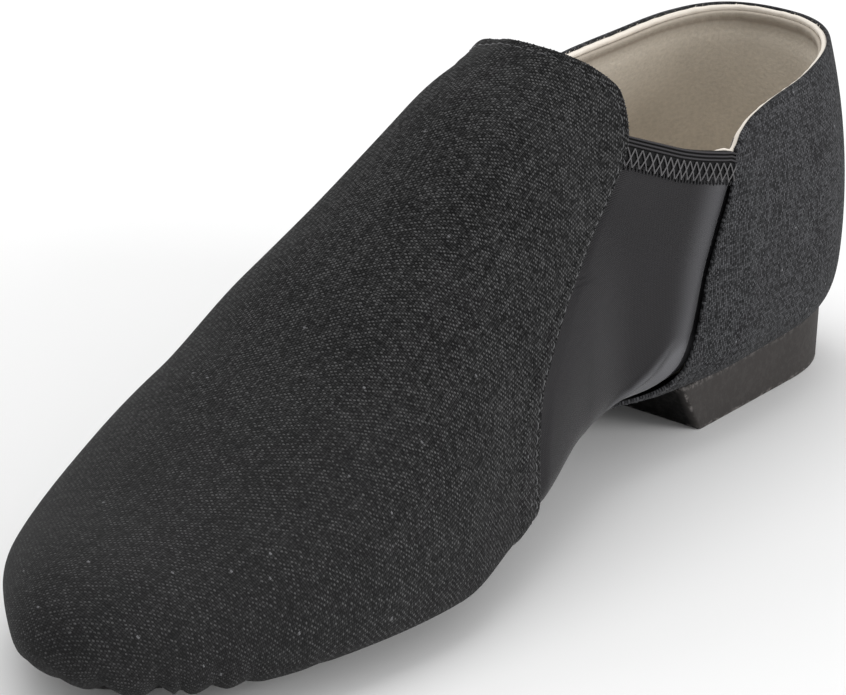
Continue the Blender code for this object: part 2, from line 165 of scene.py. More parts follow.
@dataclass(frozen=True)
class Last:
    """The surface that the shoe is made on."""

    length: float
    ball_width: float
    instep_height: float = 80 * MM
    back_height: float = 66 * MM
    heel_seat: float = 10 * MM
    ball_base: float = 2.3 * MM
    toe_spring: float = 3.2 * MM
    tip_height: float = 10.4 * MM
    bulge_height: float = 26 * MM
    back_lean: float = 3.2 * MM
    back_tuck: float = 3.8 * MM
    toe: Pair = (0.70, 2.1)
    tip: Pair = (0.89, 2.2)
    heel: Pair = (0.16, 2.2)
    turn: Pair = (0.028, 2.6)
    crown: float = 2.1
    lean_end: float = 0.30
    sections: tuple[Section, ...] = (
        Section(0.00, 0.378, 0.366, 0.010, 1.190, 0.330, 1.00, 0.00, 3.6),
        Section(0.12, 0.387, 0.381, 0.010, 1.050, 0.250, 1.00, 0.00, 3.3),
        Section(0.25, 0.388, 0.373, 0.010, 1.140, 0.243, 1.00, 0.00, 3.3),
        Section(0.33, 0.352, 0.360, 0.010, 1.150, 0.229, 1.08, 0.00, 3.6),
        Section(0.41, 0.337, 0.370, 0.010, 0.988, 0.210, 1.27, 0.00, 2.8),
        Section(0.49, 0.380, 0.392, 0.010, 0.893, 0.209, 1.13, 0.00, 2.7),
        Section(0.56, 0.428, 0.447, 0.007, 0.797, 0.185, 0.56, 0.00, 2.8),
        Section(0.62, 0.461, 0.481, 0.003, 0.720, 0.166, 0.12, 0.00, 2.9),
        Section(0.70, 0.500, 0.500, 0.000, 0.546, 0.121, 0.00, 0.00, 2.9),
        Section(0.80, 0.475, 0.476, 0.013, 0.410, 0.126, 0.00, 0.00, 2.9),
        Section(0.90, 0.428, 0.436, 0.025, 0.321, 0.120, 0.00, 0.25, 3.0),
        Section(1.00, 0.340, 0.342, 0.066, 0.296, 0.126, 0.00, 1.00, 3.0),
    )

    def column(self, name: str, station: Array) -> Array:
        """A column of the table of sections, read at stations."""
        xs = [row.station for row in self.sections]
        return curve_through(xs, [getattr(row, name) for row in self.sections], station)

    def shape(self, station: Array) -> dict[str, Array]:
        """Real sizes of the section at each station.

        Args:
            station: Shares of the length, from the back.

        Returns:
            Half widths, middle, heights and fullness, by name.
        """
        station = np.clip(station, 0, 1)
        rise = self.heel_seat - self.ball_base
        base = self.ball_base + self.column("lift", station) * rise
        base = base + self.column("spring", station) * self.toe_spring
        plan = rounding((station - self.toe[0]) / (1 - self.toe[0]), self.toe[1])
        plan = plan * rounding((self.heel[0] - station) / self.heel[0], self.heel[1])
        profile = rounding((station - self.tip[0]) / (1 - self.tip[0]), self.tip[1])
        turn_in = rounding((self.turn[0] - station) / self.turn[0], self.turn[1])
        top = base + self.tip_height
        ridge = base + self.column("ridge", station) * self.instep_height
        widest = base + self.column("widest", station) * self.instep_height
        return {
            "inner": self.column("inner", station) * self.ball_width * plan,
            "outer": self.column("outer", station) * self.ball_width * plan,
            "middle": self.column("swing", station) * self.ball_width,
            "ridge": top + (ridge - top) * profile,
            "widest": top + (widest - top) * profile,
            "base": top + (base - top) * profile + (widest - base) * (1 - turn_in),
            "fullness": self.column("fullness", station),
        }

    def back_slope(self, station: Array, height: Array) -> Array:
        """How far the back of the shoe lies forward of its bulge at a height.

        Args:
            station: Stations along the shoe, from 0 to 1.
            height: Heights above the floor, in metres.

        Returns:
            Distances forward, in metres.
        """
        over = height - self.heel_seat - self.bulge_height
        above = self.back_lean * (over / (self.back_height - self.bulge_height)) ** 2
        below = self.back_tuck * (over / self.bulge_height) ** 2
        return np.where(over > 0, above, below) * np.maximum(1 - station / self.lean_end, 0)

    def along(self, station: Array, height: Array) -> Array:
        """Y of a station at a height."""
        return self.length / 2 - station * self.length - self.back_slope(station, height)

    def point(self, station: Array, angle: Array) -> Array:
        """Points of the surface: angle 0 is the inner side, a quarter turn is the ridge.

        Args:
            station: Stations along the shoe, from 0 to 1.
            angle: Angles round the section.

        Returns:
            Points of the surface.
        """
        station, angle = np.broadcast_arrays(station, angle)
        shape = self.shape(station)
        across, upward = np.cos(angle), np.sin(angle)
        power = 2 / np.where(upward > 0, self.crown, shape["fullness"])
        half = np.where(across > 0, shape["inner"], shape["outer"])
        rise = np.where(upward > 0, shape["ridge"] - shape["widest"], shape["widest"] - shape["base"])
        x = shape["middle"] + half * np.sign(across) * np.abs(across) ** power
        z = shape["widest"] + rise * np.sign(upward) * np.abs(upward) ** power
        return np.stack([x, self.along(station, z), z], axis=-1)

    def underside(self, station: Array, x: Array) -> Array:
        """Points of the underside at stations and distances from the middle plane.

        Args:
            station: Stations along the shoe, from 0 to 1.
            x: Distances from the middle plane.

        Returns:
            Points of the underside.
        """
        shape = self.shape(station)
        half = np.where(x > shape["middle"], shape["inner"], shape["outer"])
        share = np.abs(x - shape["middle"]) / np.maximum(half, LEAST_HALF)
        z = shape["widest"] - (shape["widest"] - shape["base"]) * rounding(share, shape["fullness"])
        return np.stack([x, self.along(station, z), z], axis=-1)

    def top_height(self, x: Array, y: Array) -> Array:
        """Height of the upper surface ahead of the heel, over places in plan.

        Args:
            x: Distances from the middle plane.
            y: Places along the shoe.

        Returns:
            Heights above the floor.
        """
        shape = self.shape(0.5 - y / self.length)
        half = np.where(x > shape["middle"], shape["inner"], shape["outer"])
        share = np.abs(x - shape["middle"]) / np.maximum(half, LEAST_HALF)
        return shape["widest"] + (shape["ridge"] - shape["widest"]) * rounding(share, self.crown)

    def arc(self, station: Array, start: Array, end: Array) -> Array:
        """Distance round the section from one angle to another."""
        angle = start[..., None] + (end - start)[..., None] * np.linspace(0, 1, 25)
        path = self.point(station[..., None], angle)
        return np.linalg.norm(np.diff(path, axis=-2), axis=-1).sum(axis=-1)

    def station_of(self, points: Array) -> Array:
        """Station of points in the side view."""
        return 0.5 - points[..., 1] / self.length


# Seams of the side view


@dataclass(frozen=True)
class Mark:
    """Place in the side view: back and instep are shares of those heights, above the heel seat."""

    station: float
    back: float
    instep: float = 0.0


TONGUE_EDGE = (Mark(0.421, 0, 1.022), Mark(0.407, 0, 1.000), Mark(0.394, 0, 0.967), Mark(0.382, 0, 0.905))
VAMP_SEAM = (
    Mark(0.387, 0.990),
    Mark(0.400, 0.912),
    Mark(0.422, 0.840),
    Mark(0.463, 0.757),
    Mark(0.505, 0.655),
    Mark(0.548, 0.515),
    Mark(0.578, 0.378),
    Mark(0.588, 0.225),
    Mark(0.587, 0.100),
    Mark(0.577, -0.020),
    Mark(0.566, -0.140),
)
COUNTER_SEAM = (
    Mark(0.264, 0.960),
    Mark(0.270, 0.832),
    Mark(0.280, 0.715),
    Mark(0.295, 0.602),
    Mark(0.311, 0.450),
    Mark(0.320, 0.283),
    Mark(0.331, 0.170),
    Mark(0.352, 0.105),
    Mark(0.385, 0.070),
    Mark(0.415, 0.042),
    Mark(0.432, 0.000),
)
COLLAR_LINE = (
    Mark(-0.060, 1.000),
    Mark(0.015, 1.000),
    Mark(0.070, 0.978),
    Mark(0.140, 0.948),
    Mark(0.200, 0.934),
    Mark(0.236, 0.914),
    Mark(0.256, 0.884),
    Mark(0.271, 0.840),
    Mark(0.298, 0.858),
    Mark(0.328, 0.890),
    Mark(0.357, 0.932),
    Mark(0.385, 0.974),
    Mark(0.420, 1.030),
)


@dataclass(frozen=True)
class Seams:
    """Seams of the side view as curves."""

    last: Last
    collar_end: float = 0.402
    ridge_reach: float = 0.12
    highest: float = 1.48

    def height(self, mark: Mark) -> float:
        """Z of a mark."""
        raised = mark.back * self.last.back_height + mark.instep * self.last.instep_height
        return self.last.heel_seat + raised

    def station_at(self, marks: tuple[Mark, ...], height: Array) -> Array:
        """Station of a seam that runs down the side, at heights."""
        rows = sorted((self.height(mark), mark.station) for mark in marks)
        return curve_through([row[0] for row in rows], [row[1] for row in rows], height)

    def vamp(self, points: Array) -> Array:
        """Share of the length that points lie ahead of the edge of tongue and vamp."""
        return self.last.station_of(points) - self.station_at(TONGUE_EDGE + VAMP_SEAM, points[..., 2])

    def counter(self, points: Array) -> Array:
        """Share of the length that points lie ahead of the counter's edge."""
        return self.last.station_of(points) - self.station_at(COUNTER_SEAM, points[..., 2])

    def collar_height(self, station: Array) -> Array:
        """Height of the collar and the gore's top."""
        rows = [(mark.station, self.height(mark)) for mark in COLLAR_LINE]
        return curve_through([row[0] for row in rows], [row[1] for row in rows], station)

    def collar_angle(self, station: Array, side: Side, drop: float = 0.0) -> Array:
        """Angle on the last where its surface meets the collar line.

        Args:
            station: Stations of the sections.
            side: Side of the shoe.
            drop: How far under the line to look.

        Returns:
            The angles, seen from the inner side for both sides.
        """
        beyond = step(0, self.ridge_reach, station - self.collar_end)
        station = np.minimum(station, self.collar_end)
        angles = np.linspace(0, math.pi / 2, 400)
        place = angles if side is Side.INNER else math.pi - angles
        points = self.last.point(station[:, None], place[None, :])
        over = points[..., 2] - self.collar_height(self.last.station_of(points)) + drop
        first = np.argmax(over > 0, axis=1)
        first = np.where(over.max(axis=1) > 0, np.maximum(first, 1), len(angles) - 1)
        rows = np.arange(len(station))
        below, above = over[rows, first - 1], over[rows, first]
        share = np.clip(-below / np.where(above == below, 1, above - below), 0, 1)
        found = angles[first - 1] + share * (angles[first] - angles[first - 1])
        return found + (self.highest - found) * beyond


# Grids on the last


@dataclass(frozen=True)
class Places:
    """Where lines of a grid lie along a run: at set distances from both ends, and evenly between."""

    near_start: tuple[float, ...] = (0.0,)
    near_end: tuple[float, ...] = (0.0,)
    between: int = 40

    def on(self, length: Array) -> Array:
        """Distances along runs of these lengths, one row for each run.

        Args:
            length: Length of each run.

        Returns:
            Distances from the start of each run.
        """
        length = np.asarray(length, float)[:, None]
        used = self.near_start[-1] + self.near_end[-1]
        scale = np.minimum(1, length / (1.5 * used)) if used > 0 else np.ones_like(length)
        start = np.array(self.near_start) * scale
        end = length - np.array(self.near_end[::-1]) * scale
        share = np.arange(1, self.between + 1) / (self.between + 1)
        middle = start[:, -1:] + (end[:, :1] - start[:, -1:]) * share
        return np.concatenate([start, middle, end], axis=1)


EDGE_LINES = (0.0, 0.12 * MM, 0.35 * MM, 0.7 * MM, 1.1 * MM, 1.6 * MM, 2.1 * MM, 2.7 * MM, 3.4 * MM)


@dataclass
class Grid:
    """Grid of points on the last, with how far each lies from the edges."""

    last: Last
    station: Array
    angle: Array
    points: Array
    from_top: Array
    ring: Array
    from_start: Array
    run: Array
    normals: Array = field(init=False)

    def __post_init__(self) -> None:
        """Work out the outward normals."""
        self.normals = outward_normals(self.points, self.station, self.last)

    def moved(self, depth: Array) -> Array:
        """The points, moved inwards by a depth each."""
        return self.points - self.normals * np.broadcast_to(depth, self.station.shape)[..., None]

    @property
    def from_end(self) -> Array:
        """Distance from the far edge, along the columns."""
        return self.run[None, :] - self.from_start

    @property
    def from_rim(self) -> Array:
        """Distance from the nearer of the two rims, round the ring."""
        return np.minimum(self.from_top, self.ring - self.from_top)


def outward_normals(points: Array, station: Array, last: Last) -> Array:
    """Normals of a grid, averaged where its points meet, as at the toe's tip and the back line.

    Args:
        points: Grid of points.
        station: Station of each point.
        last: The last that they lie on.

    Returns:
        A unit vector for each point.
    """
    across = points[1:, 1:] - points[:-1, :-1]
    other = points[:-1, 1:] - points[1:, :-1]
    faces = np.cross(across, other)
    total = np.zeros_like(points)
    for rows in (slice(0, -1), slice(1, None)):
        for columns in (slice(0, -1), slice(1, None)):
            total[rows, columns] += faces
    flat = points.reshape(-1, 3)
    _, group = np.unique(np.round(flat / (0.002 * MM)).astype(np.int64), axis=0, return_inverse=True)
    group = group.reshape(-1)
    summed = np.stack([np.bincount(group, total[..., axis].ravel()) for axis in range(3)], axis=1)
    normals = summed[group].reshape(points.shape)
    normals /= np.maximum(np.linalg.norm(normals, axis=-1, keepdims=True), 1e-12)
    shape = last.shape(station)
    inside = np.stack([shape["middle"], points[..., 1], shape["widest"]], axis=-1)
    facing = np.sum(normals * (points - inside), axis=-1)
    return normals if facing.mean() > 0 else -normals


def lay_grid(
    last: Last,
    span: Callable[[Array], tuple[Array, Array]],
    start: Callable[[Array], Array] | None,
    end: Callable[[Array], Array] | None,
    columns: Places,
    rows: Places,
) -> Grid:
    """Grid on the last between two seams that cross it.

    Args:
        last: The last.
        span: Angles where each section's part begins and ends.
        start: Signed distance ahead of the rear seam, or None from the back of the shoe.
        end: Signed distance ahead of the front seam, or None up to the toe.
        columns: Places of the columns round a section.
        rows: Places of the rows along the shoe.

    Returns:
        The grid, rows along the shoe first.
    """
    dense = denser_at_ends(SECTIONS)
    first, final = span(dense)
    fine = np.linspace(0, 1, RING_STEPS)
    angles = first[:, None] + (final - first)[:, None] * fine
    ring = last.point(dense[:, None], angles)
    length = np.zeros(angles.shape)
    length[:, 1:] = np.cumsum(np.linalg.norm(np.diff(ring, axis=1), axis=2), axis=1)
    wanted = columns.on(length[:, -1])
    table = np.array([np.interp(wanted[k], length[k], angles[k]) for k in range(len(dense))])
    paths = last.point(dense[:, None], table)
    stations, turns, distances, rims, rings, runs = [], [], [], [], [], []
    for k in range(table.shape[1]):
        low = 0.0 if start is None else crossing(dense, start(paths[:, k]))
        high = 1.0 if end is None else crossing(dense, end(paths[:, k]))
        inside = dense[(dense > low) & (dense < high)]
        places = np.concatenate([[low], inside, [high]])
        path = last.point(places, np.interp(places, dense, table[:, k]))
        gone = gone_along(path)
        distance = rows.on(gone[-1:])[0]
        at = np.interp(distance, gone, places)
        stations.append(at)
        turns.append(np.interp(at, dense, table[:, k]))
        distances.append(distance)
        rims.append(np.interp(at, dense, wanted[:, k]))
        rings.append(np.interp(at, dense, length[:, -1]))
        runs.append(gone[-1])
    station, angle = np.array(stations).T, np.array(turns).T
    return Grid(
        last=last,
        station=station,
        angle=angle,
        points=last.point(station, angle),
        from_top=np.array(rims).T,
        ring=np.array(rings).T,
        from_start=np.array(distances).T,
        run=np.array(runs),
    )


def crossing(places: Array, values: Array) -> float:
    """First place where values turn from negative to positive.

    Args:
        places: Places in order.
        values: Value at each place.

    Returns:
        The place, between two places where it has to be.
    """
    turns = np.nonzero((values[:-1] < 0) & (values[1:] >= 0))[0]
    if len(turns) == 0:
        return float(places[0] if values[0] >= 0 else places[-1])
    k = turns[0]
    share = -values[k] / (values[k + 1] - values[k])
    return float(places[k] + share * (places[k + 1] - places[k]))


# Meshes


def new_piece(name: str, mesh: Mesh) -> Object:
    """An object in the scene for a mesh."""
    piece = bpy.data.objects.new(name, mesh)
    bpy.context.scene.collection.objects.link(piece)
    return piece


@dataclass(frozen=True)
class Border:
    """Which edges of a two-sided grid are closed with a rim."""

    top: bool = True
    start: bool = True
    end: bool = True


def shell(
    name: str, outer: Array, inner: Array, uv: Array, border: Border = Border(), **marks: Array
) -> Object:
    """Closed piece between an outer and an inner grid.

    Args:
        name: Name of the piece.
        outer: Outer grid of points.
        inner: Inner grid of points.
        uv: Places on the cloth for the grid, in metres.
        border: Edges that get a rim; the others meet themselves.
        marks: Numbers for the grid's points that the material reads by name.

    Returns:
        The piece, with its faces pointing out.
    """
    rows, columns = outer.shape[:2]
    index = np.arange(rows * columns).reshape(rows, columns)
    quads = np.stack([index[:-1, :-1], index[:-1, 1:], index[1:, 1:], index[1:, :-1]], axis=-1).reshape(-1, 4)
    count = rows * columns
    faces = [quads, quads[:, ::-1] + count]
    strips = []
    if border.top:
        strips += [index[::-1, 0], index[:, -1]]
    if border.start:
        strips.append(index[0])
    if border.end:
        strips.append(index[-1, ::-1])
    for line in strips:
        faces.append(np.stack([line[:-1] + count, line[1:] + count, line[1:], line[:-1]], axis=-1))
    faces = np.concatenate(faces)
    points = np.concatenate([outer.reshape(-1, 3), inner.reshape(-1, 3)])
    places = np.concatenate([uv.reshape(-1, 2), uv.reshape(-1, 2)])
    mesh = bpy.data.meshes.new(name)
    mesh.from_pydata(points.tolist(), [], faces.tolist())
    layer = mesh.uv_layers.new(name="cloth")
    layer.data.foreach_set("uv", places[faces.ravel()].astype(np.float32).ravel())
    for mark, values in marks.items():
        stored = mesh.attributes.new(mark, "FLOAT", "POINT")
        stored.data.foreach_set("value", np.tile(values.ravel(), 2).astype(np.float32))
    weld(mesh)
    outward(mesh)
    mesh.shade_smooth()
    return new_piece(name, mesh)


def weld(mesh: Mesh, reach: float = 0.002 * MM) -> None:
    """Merge the doubled points of a mesh and drop the faces that have no area.

    Args:
        mesh: Mesh to clean.
        reach: Points closer than this become one, in metres.
    """
    work = bmesh.new()
    work.from_mesh(mesh)
    bmesh.ops.remove_doubles(work, verts=work.verts, dist=reach)
    bmesh.ops.dissolve_degenerate(work, edges=work.edges, dist=reach / 10)
    work.to_mesh(mesh)
    work.free()


def outward(mesh: Mesh) -> None:
    """Turn a closed mesh's faces outwards, judged by its volume.

    Args:
        mesh: Closed mesh to turn.
    """
    work = bmesh.new()
    work.from_mesh(mesh)
    if work.calc_volume(signed=True) < 0:
        bmesh.ops.reverse_faces(work, faces=work.faces)
    work.to_mesh(mesh)
    work.free()


def sweep(name: str, path: Array, out: Array, down: Array, profile: Array) -> Object:
    """Closed piece with one profile along a path.

    Args:
        name: Name of the piece.
        path: Points of the path.
        out: Outward direction at each point.
        down: Direction away from the rim at each point.
        profile: Points of the closed profile as (inwards, down) distances.

    Returns:
        The piece.
    """
    rings = path[:, None] - out[:, None] * profile[None, :, :1] + down[:, None] * profile[None, :, 1:]
    rows, columns = rings.shape[:2]
    index = np.arange(rows * columns).reshape(rows, columns)
    nexts = np.roll(index, -1, axis=1)
    faces = np.stack([index[:-1], nexts[:-1], nexts[1:], index[1:]], axis=-1).reshape(-1, 4).tolist()
    faces += [index[0, ::-1].tolist(), index[-1].tolist()]
    mesh = bpy.data.meshes.new(name)
    mesh.from_pydata(rings.reshape(-1, 3).tolist(), [], faces)
    gone = gone_along(path)
    layer = mesh.uv_layers.new(name="cloth")
    for face in mesh.polygons:
        for k in face.loop_indices:
            row, column = divmod(mesh.loops[k].vertex_index, columns)
            layer.data[k].uv = (gone[row], profile[column, 1])
    outward(mesh)
    mesh.shade_smooth()
    return new_piece(name, mesh)


# Shader building


class Number:
    """A number in a material's node tree; arithmetic on it adds Math nodes."""

    def __init__(self, paint: "Paint", socket: NodeSocket) -> None:
        """Wrap a socket."""
        self.paint = paint
        self.socket = socket

    def math(self, operation: str, *others: "Number | float") -> "Number":
        """Result of a Math node on this number and others."""
        return self.paint.math(operation, self, *others)

    def __add__(self, other: "Number | float") -> "Number":
        """Sum."""
        return self.math("ADD", other)

    def __sub__(self, other: "Number | float") -> "Number":
        """Difference."""
        return self.math("SUBTRACT", other)

    def __mul__(self, other: "Number | float") -> "Number":
        """Product."""
        return self.math("MULTIPLY", other)

    def __rsub__(self, other: float) -> "Number":
        """Difference from a plain number."""
        return self.paint.math("SUBTRACT", other, self)

    def __pow__(self, other: float) -> "Number":
        """Power."""
        return self.math("POWER", other)

    __radd__ = __add__
    __rmul__ = __mul__

    def floor(self) -> "Number":
        """Whole part."""
        return self.math("FLOOR")

    def fraction(self) -> "Number":
        """What is left over the whole part."""
        return self.math("FRACT")

    def above(self, edge: float) -> "Number":
        """1 where the number is greater than an edge."""
        return self.math("GREATER_THAN", edge)

    def ramp(self, low: float, high: float) -> "Number":
        """Smooth step from 0 at low to 1 at high."""
        settings = {"interpolation_type": "SMOOTHSTEP"}
        return self.paint.value("ShaderNodeMapRange", settings, Value=self, From_Min=low, From_Max=high)


class Paint:
    """Builds the node tree of one material."""

    def __init__(self, name: str) -> None:
        """Start a material with a Principled shader.

        Args:
            name: Name of the material.
        """
        self.material = bpy.data.materials.new(name)
        self.material.use_nodes = True
        self.tree = self.material.node_tree
        self.shader = self.tree.nodes["Principled BSDF"]

    def node(self, kind: str, settings: dict | None = None, **inputs: object) -> Node:
        """Add a node.

        Args:
            kind: Type of the node.
            settings: Its settings, set before its sockets.
            inputs: Values or links of its sockets, by name with _ for a space.

        Returns:
            The node.
        """
        node = self.tree.nodes.new(kind)
        for name, value in (settings or {}).items():
            setattr(node, name, value)
        for name, value in inputs.items():
            self.plug(node.inputs[name.replace("_", " ")], value)
        return node

    def plug(self, socket: NodeSocket, value: object) -> None:
        """Link a number or a socket to a socket, or set its value."""
        if isinstance(value, Number):
            self.tree.links.new(value.socket, socket)
        elif isinstance(value, NodeSocket):
            self.tree.links.new(value, socket)
        else:
            socket.default_value = value

    def value(self, kind: str, settings: dict | None = None, output: int = 0, **inputs: object) -> Number:
        """A node's output as a number."""
        return Number(self, self.node(kind, settings, **inputs).outputs[output])

    def math(self, operation: str, *values: "Number | float") -> Number:
        """A Math node on up to three values.

        Args:
            operation: Name of the operation.
            values: Values that it takes.

        Returns:
            Its result.
        """
        node = self.node("ShaderNodeMath", {"operation": operation})
        for socket, value in zip(node.inputs, values):
            self.plug(socket, value)
        return Number(self, node.outputs[0])

    def cloth(self) -> tuple[Number, Number]:
        """Place on the cloth, in metres along its two thread directions."""
        uv = self.node("ShaderNodeUVMap", {"uv_map": "cloth"})
        parts = self.node("ShaderNodeSeparateXYZ", Vector=uv.outputs[0])
        return Number(self, parts.outputs[0]), Number(self, parts.outputs[1])

    def vector(self, x: Number | float, y: Number | float, z: Number | float = 0.0) -> NodeSocket:
        """A vector from numbers."""
        return self.node("ShaderNodeCombineXYZ", X=x, Y=y, Z=z).outputs[0]

    def place(self) -> NodeSocket:
        """Object coordinates."""
        return self.node("ShaderNodeTexCoord").outputs["Object"]

    def attribute(self, name: str) -> Number:
        """A number stored on the mesh's points."""
        return self.value("ShaderNodeAttribute", {"attribute_name": name}, 2)

    def noise(self, where: NodeSocket, scale: float, detail: float, roughness: float = 0.5) -> Number:
        """Noise from 0 to 1."""
        sizes = {"Scale": scale, "Detail": detail, "Roughness": roughness}
        return self.value("ShaderNodeTexNoise", 0, Vector=where, **sizes)

    def random(self, where: NodeSocket) -> Number:
        """A random number for each whole place."""
        return self.value("ShaderNodeTexWhiteNoise", {"noise_dimensions": "3D"}, 0, Vector=where)

    def blend(self, factor: Number, low: tuple | NodeSocket, high: tuple | NodeSocket) -> NodeSocket:
        """Mix of two colours.

        Args:
            factor: Share of the second colour.
            low: First colour.
            high: Second colour.

        Returns:
            Socket of the mixed colour.
        """
        node = self.node("ShaderNodeMix", {"data_type": "RGBA"})
        self.plug(node.inputs[0], factor)
        for socket, colour in ((node.inputs[6], low), (node.inputs[7], high)):
            self.plug(socket, (*colour, 1.0) if isinstance(colour, tuple) else colour)
        return node.outputs[2]

    def finish(
        self, colour: object, roughness: object, relief: Number | None, depth: float, **fixed: object
    ) -> Material:
        """Wire up the shader.

        Args:
            colour: Base colour, a socket or a tuple.
            roughness: Roughness, a number or a value.
            relief: Height from 0 to 1 for the bump, or None.
            depth: Height of that relief, in metres.
            fixed: Other sockets of the shader, the same all over.

        Returns:
            The material.
        """
        self.plug(self.shader.inputs["Base Color"], (*colour, 1.0) if isinstance(colour, tuple) else colour)
        self.plug(self.shader.inputs["Roughness"], roughness)
        if relief is not None:
            bump = self.node("ShaderNodeBump", Strength=1.0, Distance=depth, Height=relief)
            self.plug(self.shader.inputs["Normal"], bump.outputs[0])
        for name, value in fixed.items():
            self.plug(self.shader.inputs[name.replace("_", " ")], value)
        return self.material


# Finishes


@dataclass(frozen=True)
class Canvas:
    """Coarse plain weave in black, with painted shade in its hollows and pits and a painted highlight on the
    crests of its strands.
    """

    name: str = "black_canvas"
    thread: float = 0.52 * MM
    relief: float = 0.20 * MM
    # Colours of the painted shade in the hollows and of the painted highlight on the crests.
    hollow: tuple[float, float, float] = (0.0025, 0.0025, 0.0027)
    crest: tuple[float, float, float] = (0.090, 0.090, 0.091)
    lint: tuple[float, float, float] = (0.22, 0.22, 0.23)
    rare: float = 0.9992
    wander: float = 2.0
    contrast: float = 1.9
    slant: float = -0.55
    stretched: float = 1.2
    level_threads: bool = True
    columns: float = 0.0
    calm: float = 0.55
    calm_from: Pair = (0.13, 0.25)

    def material(self) -> Material:
        """The material, on the cloth's own map.

        Returns:
            The finished material.
        """
        paint = Paint(self.name)
        u, v = paint.cloth()
        flat = paint.vector(u, v)
        swapped = paint.vector(v, u)
        calm = v.ramp(*self.calm_from) * self.calm
        across, along = (v, u) if self.level_threads else (u, v)
        places = ((flat, 210.0), (swapped, 190.0))
        drift = [(paint.noise(where, scale, 3.0, 0.7) - 0.5) * self.wander for where, scale in places]
        u = across * (self.stretched / self.thread) + drift[0]
        v = along * (1 / self.thread / self.stretched) + drift[1]
        column, row = u.floor(), v.floor()
        over = (column + row).math("FLOORED_MODULO", 2.0)
        side_u, side_v = u.fraction() * 2 - 1, v.fraction() * 2 - 1
        warp = self.strand(side_u + side_v * self.slant, side_v) * 0.68 + 0.32
        weft = self.strand(side_v - side_u * 0.30, side_u) * 0.30 + 0.22
        luck = paint.random(paint.vector(column, row, 3.0))
        of_threads = paint.random(paint.vector(column, 0.0, 7.0)) + paint.random(paint.vector(0.0, row, 11.0))
        fibres = paint.noise(paint.vector(u, v * 0.6 + u * 0.5), 2.2, 3.0, 0.65)
        # Painted shade in the pits where the threads dive under each other.
        pits = 1 - (side_u * side_u * side_v * side_v).ramp(0.12, 0.62) * 0.9
        weave = (weft + (warp - weft) * over) * pits
        weave = weave * (1 - self.columns) + (1 - side_u * side_u) * self.columns
        shade = weave * (luck * 0.95 + 0.42) * (fibres * 1.5 + 0.22) + (of_threads - 1) * 0.09
        shade = shade + (paint.noise(flat, 55.0, 3.0) - 0.5) * 0.16
        shade = shade.math("MAXIMUM", 0.0).math("MINIMUM", 1.5)
        speck = luck.above(self.rare) * fibres
        # The tone runs from the painted shade of the hollows to the painted highlight of the crests; towards
        # the toe both are flattened.
        tone = shade ** self.contrast
        tone = tone * (1 - calm) + calm * 0.20
        colour = paint.blend(speck, paint.blend(tone, self.hollow, self.crest), self.lint)
        relief = (weave * (luck * 0.4 + 0.8) + fibres * 0.35) * (1 - calm * 0.8)
        return paint.finish(
            colour, 0.86, relief, self.relief,
            Sheen_Weight=0.03, Sheen_Roughness=0.5, Specular_IOR_Level=0.08,
        )

    def strand(self, across: Number, along: Number) -> Number:
        """Height of one strand: round across, and diving under its neighbours at both ends."""
        round_ = (1 - across * across).math("MAXIMUM", 0.0)
        return round_ ** 0.6 * (1 - along * along * 0.8)


@dataclass(frozen=True)
class Stretch:
    """Smooth black stretch cloth over foam."""

    stitch: float = 0.50 * MM
    colour: tuple[float, float, float] = (0.0060, 0.0052, 0.0065)
    # Pale colour of the painted sheen and painted highlight.
    bloom: tuple[float, float, float] = (0.105, 0.105, 0.112)

    def material(self) -> Material:
        """The material, with a fine knit and painted light where the mesh marks it.

        Returns:
            The finished material.
        """
        paint = Paint("black_stretch")
        u, v = paint.cloth()
        flat = paint.vector(u, v)
        wale = (u * (2 * math.pi / self.stitch)).math("SINE")
        course = (v * (2 * math.pi / (self.stitch * 0.8)) + wale * 0.8).math("SINE")
        knit = wale * 0.10 + course * 0.40 + 0.5
        cloudy = paint.noise(flat, 90.0, 3.0)
        shade = knit * 0.5 + cloudy * 0.5
        dark = tuple(channel * 0.60 for channel in self.colour)
        light = tuple(channel * 1.50 for channel in self.colour)
        # Painted light: a pale colour, blended in where the mesh marks it, stands for sheen and highlight by
        # the counter's edge, on the arch's crease and in the corner below it.
        colour = paint.blend(paint.attribute("bloom"), paint.blend(shade, dark, light), self.bloom)
        relief = knit * 0.6 + cloudy * 0.4
        return paint.finish(
            colour, 0.45, relief, 0.06 * MM, Sheen_Weight=0.24, Sheen_Roughness=0.22, Specular_IOR_Level=0.15
        )


@dataclass(frozen=True)
class Plain:
    """Simple cloth or thread: one colour with fine fibres, darkened by painted shade where the mesh marks it.
    """

    name: str
    colour: tuple[float, float, float]
    roughness: float = 0.8
    fibre: float = 0.3 * MM
    relief: float = 0.03 * MM
    stretch_along: float = 4.0
    contrast: float = 0.25
    sheen: float = 0.1
    gloss: float = 0.5
    painted_shade_colour: tuple[float, float, float] = (0.25, 0.21, 0.17)

    def material(self) -> Material:
        """The material, with fibres along the cloth's first direction.

        Returns:
            The finished material.
        """
        paint = Paint(self.name)
        u, v = paint.cloth()
        where = paint.vector(u * (1 / self.stretch_along), v)
        fibres = paint.noise(where, 1 / self.fibre, 3.0, 0.6)
        cloudy = paint.noise(paint.vector(u, v), 70.0, 3.0)
        shade = fibres * 0.6 + cloudy * 0.4
        dark = tuple(channel * (1 - self.contrast) for channel in self.colour)
        light = tuple(channel * (1 + self.contrast) for channel in self.colour)
        # Painted shade: the shade attribute darkens the lining along its rim and in a line under the tape.
        colour = paint.blend(paint.attribute("shade"), paint.blend(shade, dark, light), self.painted_shade_colour)
        return paint.finish(
            colour, self.roughness, fibres, self.relief,
            Sheen_Weight=self.sheen, Specular_IOR_Level=self.gloss,
        )


